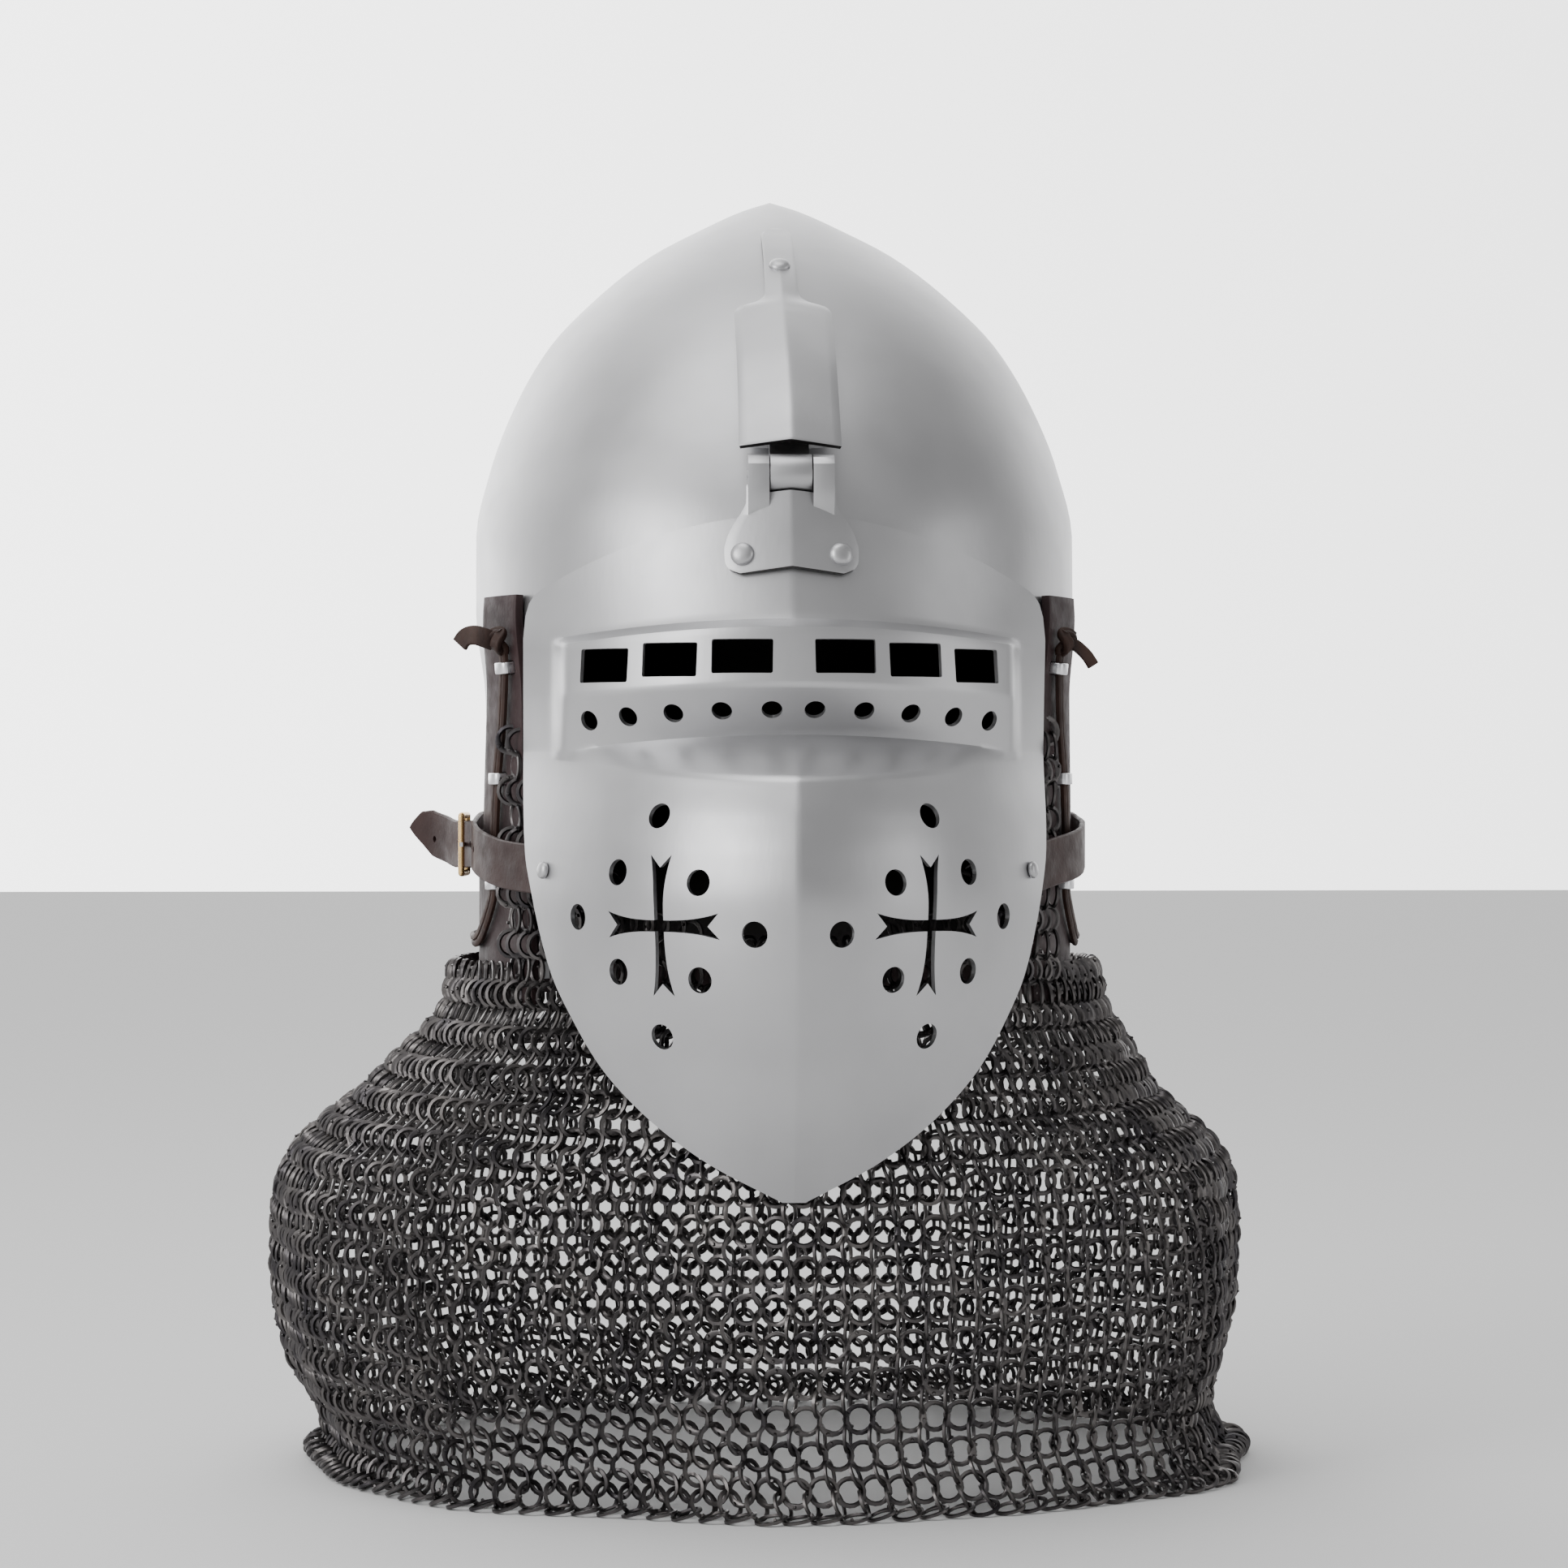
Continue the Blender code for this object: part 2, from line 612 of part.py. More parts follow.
def build_rivets(skull):
    for side, word in ((-1, "left"), (1, "right")):
        rivet("leaf_rivet_" + word, visor_point, side * LEAF_RIVET[0], LEAF_RIVET[1],
              GAP + LEAF_WALL + .0007, VISOR_WALL + .0007, .002, LEAF_HEAD)
        lay = strap_lay(side * STRAP_RIVET[0])[1]
        rivet("strap_rivet_" + word, visor_point, side * STRAP_RIVET[0], STRAP_RIVET[1],
              GAP + .0001, lay + STRAP_WALL / 2 + .0008, .002, STRAP_HEAD)
    rivet("cover_rivet", on_front, 0, COVER_RIVET, COVER_STAND * .06 + COVER_WALL + .0004, SKULL_WALL + .0005,
          .004, COVER_HEAD)
    boolean(skull, join_meshes("skull_hole", [rivet_hole(on_front, 0, COVER_RIVET)]))


def turn_at(depth, height):
    """The turn from the middle of the face at which the skull lies at this depth."""
    half, front, back = skull_extent(height)
    return math.acos(max(-1, min(1, (depth - (front - back) / 2) / ((front + back) / 2))))


def band_lift(height):
    return BAND_GAP + .0014 * max(0, (RIM + .010 - height) / (BAND_HEM + .010)) ** 1.5


def band_grid():
    """The right half of the band; its columns keep to those of the skull, so that the two never touch."""
    heights = [BAND_NECK + (BAND_TOP - BAND_NECK) * k / 6 for k in range(6, 0, -1)]
    heights += [BAND_NECK, (BAND_NECK + RIM) / 2, RIM, BAND_BOTTOM]
    rows = []
    for height in heights:
        turns = [turn_at(BAND_FRONT, height)] + [2 * math.pi * k / SKULL_COLUMNS
                                                 for k in range(BAND_REAR_COLUMN - 1, SKULL_COLUMNS // 2 + 1)]
        rows.append([skull_lifted(t, height, band_lift(height)) for t in turns])
    return rows


def build_band():
    right = band_grid()
    rows = []
    for row in right:
        left = [Vector((-p.x, p.y, p.z)) for p in row]
        rows.append(row + list(reversed(left))[1:])
    count = len(rows[0])
    neck = 6

    def keep(i, j):
        vertical = j < 2 or j >= count - 3
        return vertical or i >= neck

    band = sheet("leather_band", rows, "leather", keep=keep)
    thicken(band, BAND_WALL, side=1)
    slots = []
    for spot in vervelle_spots():
        slots.append(prism_mesh(block(.0049, LOOP_HALF + .0007) if spot.upright else block(LOOP_HALF + .0007, .0049),
                                -.004, .012, frame(spot.point, spot.normal)))
    boolean(band, join_meshes("band_slots", slots))
    return band


Loop = namedtuple("Loop", "name point normal upright turn height")


def band_level(share):
    return BAND_BOTTOM + (BAND_TOP - BAND_BOTTOM) * share


# the loops beside the face: how far behind the band's front edge, and how high, as a share of the band
Side = namedtuple("Side", "inset share")
SIDE_LOOPS = (Side(.0074, .829), Side(.0156, .559), Side(.0218, .305))
BACK_TURNS = (math.radians(112), math.radians(134), math.radians(157))


def vervelle_spots():
    spots = []
    for side, word in ((-1, "left"), (1, "right")):
        for k, spot in enumerate(SIDE_LOOPS):
            height = band_level(spot.share)
            turn = side * turn_at(BAND_FRONT - spot.inset, height)
            spots.append(("vervelle_%s_%d" % (word, k + 1), turn, height, True))
        for k, turn in enumerate(BACK_TURNS):
            spots.append(("vervelle_%s_%d" % (word, k + 4), side * turn, NECK_LINE, False))
    spots.append(("vervelle_back", math.pi, NECK_LINE, False))
    found = []
    for name, turn, height, upright in spots:
        point = skull_point(turn, height)
        normal = normal_of(skull_point, turn, height, .01, .001)
        found.append(Loop(name, point, normal, upright, turn, height))
    return found


def build_vervelles():
    low = GAP + .0001
    top = BAND_GAP + BAND_WALL + LACE_RADIUS * 2 + .0021
    outer = [(-.0040, low), (.0040, low), (.0040, top - .0022), (.0026, top - .0005), (0, top),
             (-.0026, top - .0005), (-.0040, top - .0022)]
    inner = [(-.0028, low + .0011), (.0028, low + .0011), (.0028, top - .0027), (.0018, top - .0015),
             (0, top - .0011), (-.0018, top - .0015), (-.0028, top - .0027)]
    for spot in vervelle_spots():
        matrix = frame(spot.point, spot.normal)
        bm = bmesh.new()
        loops = []
        for outline, level in ((outer, -LOOP_HALF), (outer, LOOP_HALF), (inner, LOOP_HALF), (inner, -LOOP_HALF)):
            ring = []
            for across, rise in outline:
                local = Vector((across, level, rise)) if spot.upright else Vector((level, across, rise))
                ring.append(bm.verts.new(matrix @ local))
            loops.append(ring)
        for a, b in zip(loops, loops[1:] + loops[:1]):
            for k in range(len(outer)):
                n = (k + 1) % len(outer)
                bm.faces.new((a[k], a[n], b[n], b[k]))
        bmesh.ops.recalc_face_normals(bm, faces=bm.faces)
        mesh = bpy.data.meshes.new(spot.name)
        bm.to_mesh(mesh)
        bm.free()
        add(spot.name, mesh, "tin")


def lace_points():
    """The lace's route over the band: up one side, round the neck and up the other side."""
    rise = BAND_GAP + BAND_WALL + LACE_RADIUS + .0006
    half = []
    for inset, share in ((.0068, .870), (.0074, .829), (.0110, .697), (.0156, .559), (.0196, .401), (.0212, .335),
                         (.0218, .305), (.0226, .275)):
        half.append((turn_at(BAND_FRONT - inset, band_level(share)), band_level(share)))
    half += [(turn_at(BAND_FRONT - .0290, NECK_LINE + .0100), NECK_LINE + .0100),
             (turn_at(BAND_FRONT - .0400, NECK_LINE + .0025), NECK_LINE + .0025),
             (turn_at(BAND_FRONT - .0510, NECK_LINE), NECK_LINE),
             (turn_at(BAND_FRONT - .0640, NECK_LINE), NECK_LINE)]
    ends = [math.radians(a) for a in range(100, 180, 10)]
    half += [(t, NECK_LINE) for t in ends if t > half[-1][0] + .05]
    route = [(-t, h) for t, h in half] + [(math.pi, NECK_LINE)]
    route += [(t, h) for t, h in reversed(half)]
    return [skull_lifted(t, h, rise) for t, h in route]


def tube(name, points, radii, finish, cyclic=False, sides_step=1):
    curve = bpy.data.curves.new(name, "CURVE")
    curve.dimensions = "3D"
    curve.fill_mode = "FULL"
    curve.use_fill_caps = not cyclic
    curve.bevel_depth = 1.0
    curve.bevel_resolution = sides_step
    line = curve.splines.new("POLY")
    line.points.add(len(points) - 1)
    for item, point, radius in zip(line.points, points, radii):
        item.co = (*point, 1)
        item.radius = radius
    line.use_cyclic_u = cyclic
    holder = bpy.data.objects.new(name + "_line", curve)
    bpy.context.scene.collection.objects.link(holder)
    mesh = bpy.data.meshes.new_from_object(holder.evaluated_get(bpy.context.evaluated_depsgraph_get()))
    bpy.data.objects.remove(holder)
    bm = bmesh.new()
    bm.from_mesh(mesh)
    bmesh.ops.remove_doubles(bm, verts=bm.verts, dist=1e-6)
    bmesh.ops.recalc_face_normals(bm, faces=bm.faces)
    bm.to_mesh(mesh)
    bm.free()
    mesh.name = name
    return add(name, mesh, finish)


def build_lace():
    points = lace_points()
    ends = []
    for point, side in ((points[0], -1), (points[-1], 1)):
        # the knot is a swelling above the top loop, with a short free tail that leans outward
        ends.append([(point + Vector((side * dx, dy, dz)), radius) for dx, dy, dz, radius in (
            (.0004, -.0006, .0012, .0017), (.0020, -.0012, .0026, .0036), (.0026, -.0014, .0060, .0040),
            (.0032, -.0010, .0086, .0032), (.0050, -.0008, .0092, .0015), (.0090, -.0004, .0096, .0015),
            (.0136, .0000, .0094, .0013))])
    line = list(reversed(ends[0])) + [(p, LACE_RADIUS) for p in points] + ends[1]
    return tube("lace", [p for p, r in line], [r for p, r in line], "lace")


def ribbon(name, points, wide, wall, finish, tip=None):
    """A strap on edge along a line: its width is upright, its wall lies level."""
    rows_in, rows_out = [], []
    for k, point in enumerate(points):
        before = points[max(0, k - 1)]
        after = points[min(len(points) - 1, k + 1)]
        along = (after - before)
        level = Vector((along.x, along.y, 0)).normalized()
        out = Vector((level.y, -level.x, 0)) * wall / 2
        half = wide / 2 if tip is None else tip(k)
        rows_out.append((point + out + Vector((0, 0, half)), point + out - Vector((0, 0, half))))
        rows_in.append((point - out + Vector((0, 0, half)), point - out - Vector((0, 0, half))))
    bm = bmesh.new()
    rings = []
    for (a, b), (c, d) in zip(rows_out, rows_in):
        rings.append([bm.verts.new(p) for p in (a, b, d, c)])
    for one, two in zip(rings, rings[1:]):
        for k in range(4):
            n = (k + 1) % 4
            bm.faces.new((one[k], one[n], two[n], two[k]))
    bm.faces.new(rings[0])
    bm.faces.new(rings[-1])
    bmesh.ops.recalc_face_normals(bm, faces=bm.faces)
    mesh = bpy.data.meshes.new(name)
    bm.to_mesh(mesh)
    bm.free()
    return add(name, mesh, finish)


def strap_lay(x):
    """How far the middle of a strap lies inside the visor's outer face, level with the strap rivet."""
    middle = visor_point(x, STRAP_RIVET[1])
    normal = normal_of(visor_point, x, STRAP_RIVET[1], .002, .002)
    level = Vector((normal.x, normal.y, 0)).normalized()
    dip = max((middle - visor_point(x, STRAP_RIVET[1] + k * STRAP_WIDE / 4)).dot(level) for k in (-2, -1, 0, 1, 2))
    return level, VISOR_WALL + .0007 + STRAP_WALL / 2 + dip


def under_visor(side, x):
    level, lay = strap_lay(side * x)
    return visor_point(side * x, STRAP_RIVET[1]) - level * lay


# across: beyond SKULL_HALF; depth: behind the edge of the skull's opening
HINGE_BAR = (-SKULL_HALF - .0029, OPENING_DEPTH - .0358 - BUCKLE_LONG)
FRONT_BAR = (-SKULL_HALF - .0024, OPENING_DEPTH - .0358)


def beside(side, out, ahead, rise):
    """A point beside the face opening: out from the skull's widest, ahead of the opening's edge, over the rim."""
    return place(side * (SKULL_HALF + out), OPENING_DEPTH + ahead, RIM + rise)


def lead_in(side, run):
    points = [under_visor(side, VISOR_HALF - inset) for inset in (.0153, .0108, .0063, .0023)]
    start = STRAP_RIVET[1] - RIM
    return points + [beside(side, out, ahead, start + rise) for out, ahead, rise in run]


def build_straps():
    level = BUCKLE_LEVEL - RIM
    left = lead_in(-1, ((-.0139, .0062, .0023), (-.0072, -.0058, .0041), (-.0027, -.0178, .0058),
                        (-.0006, -.0278, .0071)))
    left += [beside(-1, out, ahead, level + rise) for out, ahead, rise in (
        (.0002, -.0358, 0), (.0019, -.0418, 0), (.0054, -.0488, 0))]
    end = HINGE_BAR[1] - OPENING_DEPTH
    left += [beside(-1, out, end + ahead, level + rise) for out, ahead, rise in (
        (.0080, 0, 0), (.0109, -.0080, .0007), (.0154, -.0160, .0017), (.0206, -.0220, .0030),
        (.0249, -.0260, .0043))]
    count = len(left)

    def tip(k):
        return {count - 1: .0030, count - 2: .0078}.get(k, STRAP_WIDE / 2)

    front = ribbon("visor_strap_left", left, STRAP_WIDE, STRAP_WALL, "strap", tip)

    right = lead_in(1, ((-.0139, .0062, .0028), (-.0072, -.0058, .0043), (-.0027, -.0178, .0058),
                        (-.0008, -.0278, .0073), (.0006, -.0378, .0083), (.0014, -.0478, .0090),
                        (.0014, -.0578, .0096)))
    level = RIM + .0515
    turns = [math.radians(a) for a in range(90, 270, 10)]
    for turn in turns:
        lift = .0006 + STRAP_WALL / 2 + .0020 * max(0, math.sin(turn)) ** 8 + .0024 * max(0, -math.sin(turn)) ** 8
        flat = skull_point(turn, level)
        normal = normal_of(skull_point, turn, level, .01, .001)
        out = Vector((normal.x, normal.y, 0)).normalized()
        reach = max((skull_point(turn, level + k * STRAP_WIDE / 4) - flat).dot(out) for k in (-2, -1, 0, 1, 2))
        right.append(flat + out * (lift + .0008 + reach))
    bar_x, bar_depth = HINGE_BAR
    wrap = BUCKLE_WIRE + .0006 + STRAP_WALL / 2
    for k in range(7):
        angle = math.pi * k / 6
        right.append(place(bar_x + wrap * math.cos(angle), bar_depth + wrap * math.sin(angle), BUCKLE_LEVEL))
    right.append(place(bar_x - wrap, bar_depth - .0090, BUCKLE_LEVEL))
    rear = ribbon("visor_strap_right", right, STRAP_WIDE, STRAP_WALL, "strap")

    for side, strap in ((-1, front), (1, rear)):
        hole = rivet_hole(visor_point, side * STRAP_RIVET[0], STRAP_RIVET[1], high=.002)
        boolean(strap, join_meshes("strap_hole", [hole]))
    towards = Vector((-1, 0, 0))
    slot = prism_mesh(block(.0062, .0023), -.006, .006,
                      frame(place(bar_x, bar_depth + .0020, BUCKLE_LEVEL), towards))
    boolean(rear, join_meshes("tongue_slot", [slot]))
    middle = place(HINGE_BAR[0] - .0011, HINGE_BAR[1] + BUCKLE_LONG * .48, BUCKLE_LEVEL)
    holes = [prism_mesh(block(.0058, .0014), -.005, .005, frame(middle, towards))]
    for k in (5, 6, -3):
        a, b = left[k], left[k + 1]
        along = (b - a)
        out = Vector((along.y, -along.x, 0)).normalized()
        holes.append(prism_mesh(disc(.0012, 8), -.004, .004, frame((a + b) / 2, out)))
    boolean(front, join_meshes("punched_holes", holes))
    return front, rear


def build_buckle():
    half = STRAP_WIDE / 2 + .0011 + BUCKLE_WIRE
    rear_x, rear_depth = HINGE_BAR
    front_x, front_depth = FRONT_BAR
    corner = .0012
    points = [place(rear_x, rear_depth, BUCKLE_LEVEL - half + corner), place(rear_x, rear_depth, BUCKLE_LEVEL + half - corner),
              place(rear_x, rear_depth + corner, BUCKLE_LEVEL + half),
              place((rear_x + front_x) / 2 - .0008, (rear_depth + front_depth) / 2, BUCKLE_LEVEL + half + .0004),
              place(front_x, front_depth - corner, BUCKLE_LEVEL + half),
              place(front_x, front_depth, BUCKLE_LEVEL + half - corner), place(front_x, front_depth, BUCKLE_LEVEL - half + corner),
              place(front_x, front_depth - corner, BUCKLE_LEVEL - half),
              place((rear_x + front_x) / 2 - .0008, (rear_depth + front_depth) / 2, BUCKLE_LEVEL - half - .0004),
              place(rear_x, rear_depth + corner, BUCKLE_LEVEL - half)]
    tube("buckle_frame", points, [BUCKLE_WIRE] * len(points), "brass", cyclic=True, sides_step=2)

    eye_outer = .0026
    eye_inner = BUCKLE_WIRE + .0004
    outline = []
    for k in range(11):
        angle = math.radians(60 + 30 * k)
        outline.append((rear_depth + eye_outer * math.cos(angle), rear_x - eye_outer * math.sin(angle)))
    outline += [(rear_depth + .0060, rear_x - .0004), (front_depth + .0030, front_x - .0017),
                (front_depth + .0030, front_x - .0029), (front_depth - .0020, front_x - .0029),
                (rear_depth + .0060, rear_x - .0018)]
    upright = Matrix(((0, 1, 0, 0), (-1, 0, 0, 0), (0, 0, 1, BUCKLE_LEVEL - SEAT_HEIGHT), (0, 0, 0, 1)))
    tongue = add("buckle_tongue", prism_mesh(outline, -.0008, .0008, upright), "tin")
    bore = prism_mesh([(rear_depth + x, rear_x + y) for x, y in disc(eye_inner, 12)], -.01, .01, upright)
    boolean(tongue, join_meshes("tongue_bore", [bore]))
    return tongue


def fold(turn, share):
    wave = math.sin(7 * turn + 1.1) + .6 * math.sin(11 * turn + 2.4)
    return MAIL_FOLD * track(MAIL, "fold", share) * wave


def neck():
    """Half width, front and back of the mail where it leaves the band at the skull's rim."""
    half, front, back = skull_extent(RIM)
    clear = BAND_GAP + BAND_WALL + MAIL_WALL / 2
    return (half + clear + MAIL_EASE, (BAND_FRONT - MAIL_SETBACK) / math.cos(MAIL_EDGE),
            back + clear + MAIL_EASE * .6)


def mail_point(turn, height):
    share = height / MAIL_DROP
    neck_half, neck_front, neck_back = neck()
    half = neck_half + (MAIL_HALF - neck_half) * track(MAIL, "half", share)
    front = neck_front + (MAIL_FRONT - neck_front) * track(MAIL, "front", share)
    back = neck_back + (MAIL_BACK - neck_back) * track(MAIL, "back", share)
    lift = fold(turn, share)
    reach = front if math.cos(turn) > 0 else back
    return place((half + lift) * math.sin(turn), (reach + lift) * math.cos(turn), height)


def chin_edge(turn):
    """Height of the mail's upper edge across the chin."""
    return RIM + CHIN_FRONT + (CHIN_SIDE - CHIN_FRONT) * min(1, abs(turn) / MAIL_EDGE) ** 2.2


def mail_rows(columns):
    front = max(4, round(columns * MAIL_EDGE / math.pi / 2) * 2)
    rest = columns - front
    turns = [-MAIL_EDGE + 2 * MAIL_EDGE * k / front for k in range(front + 1)]
    turns += [MAIL_EDGE + (2 * math.pi - 2 * MAIL_EDGE) * k / rest for k in range(1, rest)]
    rows = []
    for share in (1, .66, .33):
        rows.append([mail_point(t, RIM + (chin_edge(t) - RIM) * share) for t in turns])
    for share in MAIL_ROWS:
        rows.append([mail_point(t, MAIL_DROP * share) for t in turns])
    rows.append([mail_point(t, MAIL_WALL / 2 + .0001) for t in turns])
    return rows, front


def build_mail():
    rows, front = mail_rows(MAIL_COLUMNS)
    mail = sheet("aventail", rows, "iron", closed=True, keep=lambda i, j: i >= 3 or j < front)
    solid = thicken(mail, MAIL_WALL, side=0).modifiers["wall"]
    solid.use_even_offset = False
    return mail


clear()
skull_obj = build_skull()
build_visor()
build_hinge()
build_rivets(skull_obj)
build_band()
build_vervelles()
build_lace()
build_straps()
build_buckle()
build_mail()
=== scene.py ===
"""Looks of the bascinet: fine steel, leather, lace and linked mail over the plain CAD solids.

Heights are above the hem of the mail, depths are forward of the seat; place() turns both into the
part's own frame, in metres.
"""
import math
import random
from collections import namedtuple

import bmesh
import bpy
import numpy as np
from mathutils import Matrix, Vector


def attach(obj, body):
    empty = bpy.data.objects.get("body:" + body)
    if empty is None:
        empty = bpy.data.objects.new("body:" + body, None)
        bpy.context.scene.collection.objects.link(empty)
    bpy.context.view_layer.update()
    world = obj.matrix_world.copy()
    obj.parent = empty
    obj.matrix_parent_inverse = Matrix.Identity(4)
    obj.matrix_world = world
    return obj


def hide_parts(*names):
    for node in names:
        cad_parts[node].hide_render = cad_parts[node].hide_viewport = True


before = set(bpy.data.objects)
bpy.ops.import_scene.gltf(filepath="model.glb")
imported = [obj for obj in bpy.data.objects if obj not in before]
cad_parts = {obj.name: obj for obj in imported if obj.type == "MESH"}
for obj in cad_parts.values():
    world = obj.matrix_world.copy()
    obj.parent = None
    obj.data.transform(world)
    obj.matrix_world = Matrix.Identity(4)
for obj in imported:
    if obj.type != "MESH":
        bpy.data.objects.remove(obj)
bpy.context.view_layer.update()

# named sizes, as in the CAD source; here the mail lies closer and the visor's keel runs higher
GAP = 0.0004
MAIL_DROP = 0.1860
RIM = MAIL_DROP
SEAT_HEIGHT = RIM + 0.2140
SKULL_HALF = 0.1136
SKULL_FRONT = 0.1305
SKULL_BACK = 0.1330
SKULL_POINT = 0.0400
SKULL_TALL = 0.2980
SKULL_WALL = 0.0020
RIDGE = 0.0016
OPENING_DEPTH = SKULL_FRONT * .550
OPENING_TOP = RIM + SKULL_TALL * .473
VISOR_WALL = 0.0018
VISOR_TALL = 0.2408
VISOR_TOP = RIM + SKULL_TALL * .557
VISOR_HALF = SKULL_HALF - 0.0188
VISOR_DEPTH = 0.0550
CORNER = 0.0060
BOX_HALF = 0.0800
BOX_FOOT = BOX_HALF + 0.0040
SLOT_TALL = 0.0120
BREATH_RADIUS = 0.00365
HOLE_RADIUS = 0.0046
CROSS_ARM = 0.0243
CROSS_RISE = 0.0245
CROSS_WAIST = 0.0020
CROSS_SPLAY = 0.0046
BAND_WALL = 0.0030
BAND_GAP = 0.0008
BAND_HEM = 0.0120
BAND_BOTTOM = RIM - BAND_HEM
BAND_TOP = OPENING_TOP - 0.0010
BAND_NECK = RIM + 0.0390
BAND_FRONT = OPENING_DEPTH - 0.0010
NECK_LINE = RIM + 0.0125
MAIL_HALF = 0.1808
MAIL_FRONT = 0.1455
MAIL_BACK = 0.1605
MAIL_FOLD = 0.0035
MAIL_EASE = 0.0074
MAIL_EDGE = math.radians(55)
MAIL_SETBACK = 0.0048
MAIL_SWAY = -0.0060
CHIN_FRONT = 0.0150
CHIN_SIDE = 0.0990
PIN_HEIGHT = VISOR_TOP + 0.0144
PIN_RADIUS = 0.0019
KNUCKLE_RADIUS = 0.0072
KNUCKLE_MIDDLE = 0.0074
KNUCKLE_END = 0.0152
LEAF_WALL = 0.0020
LEAF_HALF = 0.0230
BASE_HALF = 0.0072
COVER_WALL = 0.0018
COVER_HALF = 0.0175
TONGUE_HALF = 0.0058
COVER_CROWN = 0.0046
COVER_STAND = 0.0094
LACE_RADIUS = 0.0015
LOOP_HALF = 0.0021
LOOP_WIDE = 0.0044
LOOP_WALL = 0.0012
LOOP_SLOT = 0.0047
STRAP_WALL = 0.0020
STRAP_WIDE = 0.0176
BUCKLE_LEVEL = RIM + 0.0485
BUCKLE_LONG = 0.0200
BUCKLE_WIRE = 0.0009
BUCKLE_ROUND = 0.0012
LEAF_RIVET = (LEAF_HALF * .73, VISOR_TOP - .0150)
STRAP_RIVET = (VISOR_HALF - .0080, BUCKLE_LEVEL - .0083)
COVER_RIVET = RIM + SKULL_TALL * .876

SKULL = {
    "height":     (1.000, .9866, .9597, .9195, .8624, .7987, .7248, .6409, .5503, .4564, .3490, .2148,
                   .0973, -.0537),
    "half_width": (.0000, .0968, .2377, .4225, .6030, .7570, .8671, .9507, 1.000, 1.000, .9683, .9595,
                   .9551, .9551),
    "front":      (.0000, .0821, .1994, .3402, .5015, .6393, .7695, .8798, .9548, .9900, 1.000, .9883,
                   .9619, .9384),
    "back":       (.0000, .0914, .2151, .3548, .5161, .6505, .7796, .8839, .9624, 1.000, .9892, .8871,
                   .8280, .8925),
}
VISOR = {
    "height": (1.083, 1.000, .8459, .6134, .5556, .5017, .4456, .3833, .3210, .2616, .1914, .1225,
               .0594, .0000),
    "centre": (-.096, .0091, .2273, .7545, .8909, .9727, 1.000, .9727, .9182, .8455, .7273, .6091,
               .4818, .3545),
    "keel":   (.094, .094, .100, .192, .192, .192, .183, .174, .157, .148, .139, .131, .122, .104),
    "bow":    (.395, .395, .436, .554, .554, .554, .554, .554, .554, .554, .554, .554, .554, .554),
    "cheek":  (.128, .128, .140, .319, .319, .319, .319, .319, .319, .319, .319, .319, .319, .319),
    "half":   (.9916, .9916, .9979, 1.000, .9979, .9916, .9684, .9346, .8882, .8154, .7078, .5432,
               .3291, .0422),
}
Line = namedtuple("Line", "level rise centre keel bow cheek")
BOX_LINES = (
    Line(level=.8339, rise=-.0450, centre=.3727, keel=.000, bow=.524, cheek=.153),
    Line(level=.7496, rise=-.0295, centre=.4091, keel=.000, bow=.524, cheek=.153),
    Line(level=.6773, rise=-.0456, centre=.1727, keel=.000, bow=.425, cheek=.140),
)
Edge = namedtuple("Edge", "level rise")
FOOT_LINE = Edge(level=.8459, rise=-.0450)
NOSE_LINE = Edge(level=.6134, rise=.0536)
Slot = namedtuple("Slot", "inner outer")
SLOTS = (Slot(.094, .360), Slot(.425, .660), Slot(.725, .930))
BREATHS = (.094, .312, .522, .719, .889)
Spot = namedtuple("Spot", "x height")
CROSS = Spot(.498, .402)
HOLES = (Spot(.496, .560), Spot(.359, .465), Spot(.647, .478), Spot(.793, .4115), Spot(.158, .392),
         Spot(.6445, .334), Spot(.352, .3255), Spot(.485, .2415))
MAIL = {
    "height": (1.000, .9462, .8925, .8253, .7586, .6919, .6258, .5591, .4925, .3591, .2258, .0925,
               .0323, .0086),
    "half":   (.000, .030, .118, .300, .459, .700, .905, .985, 1.000, .990, .910, .760, .780, .920),
    "front":  (.000, .087, .206, .380, .533, .663, .772, .859, .924, 1.000, .957, .880, .967, 1.163),
    "back":   (.000, .071, .214, .375, .554, .732, .875, .982, 1.000, .946, .804, .661, .768, 1.089),
    "fold":   (.000, .000, .000, .143, .286, .429, .571, .714, .857, 1.000, 1.000, 1.000, .857, .714),
}


# camera and light

CAMERA_AWAY = 1.70
CAMERA_ASIDE = 0.0037
CAMERA_HEIGHT = 0.257
CAMERA_TURN = math.radians(2.75)
FLOOR_HALF = 9.0
Light = namedtuple("Light", "name place aim wide tall power")
LIGHTS = (
    Light("window", (-1.7, -1.3, .70), (0, 0, -.12), 1.2, 1.5, 30),
    Light("above", (-.3, -.3, 1.9), (0, 0, -.1), 1.4, 1.4, 16),
    Light("right", (2.0, -.7, .2), (0, 0, -.2), .8, 1.4, 5),
)
# the sky is dim in front and bright behind, and brighter on the left than on the right
SKY = (("Y", (.30, .97, .66, 4.2)), ("X", (-.55, .55, 1.24, .62)))


def in_scene(name, data):
    obj = bpy.data.objects.new(name, data)
    bpy.context.scene.collection.objects.link(obj)
    return obj


def ranged(tree, value, bounds, interpolation="LINEAR"):
    span = tree.nodes.new("ShaderNodeMapRange")
    span.interpolation_type = interpolation
    for name, number in zip(("From Min", "From Max", "To Min", "To Max"), bounds):
        span.inputs[name].default_value = number
    tree.links.new(value, span.inputs["Value"])
    return span.outputs["Result"]


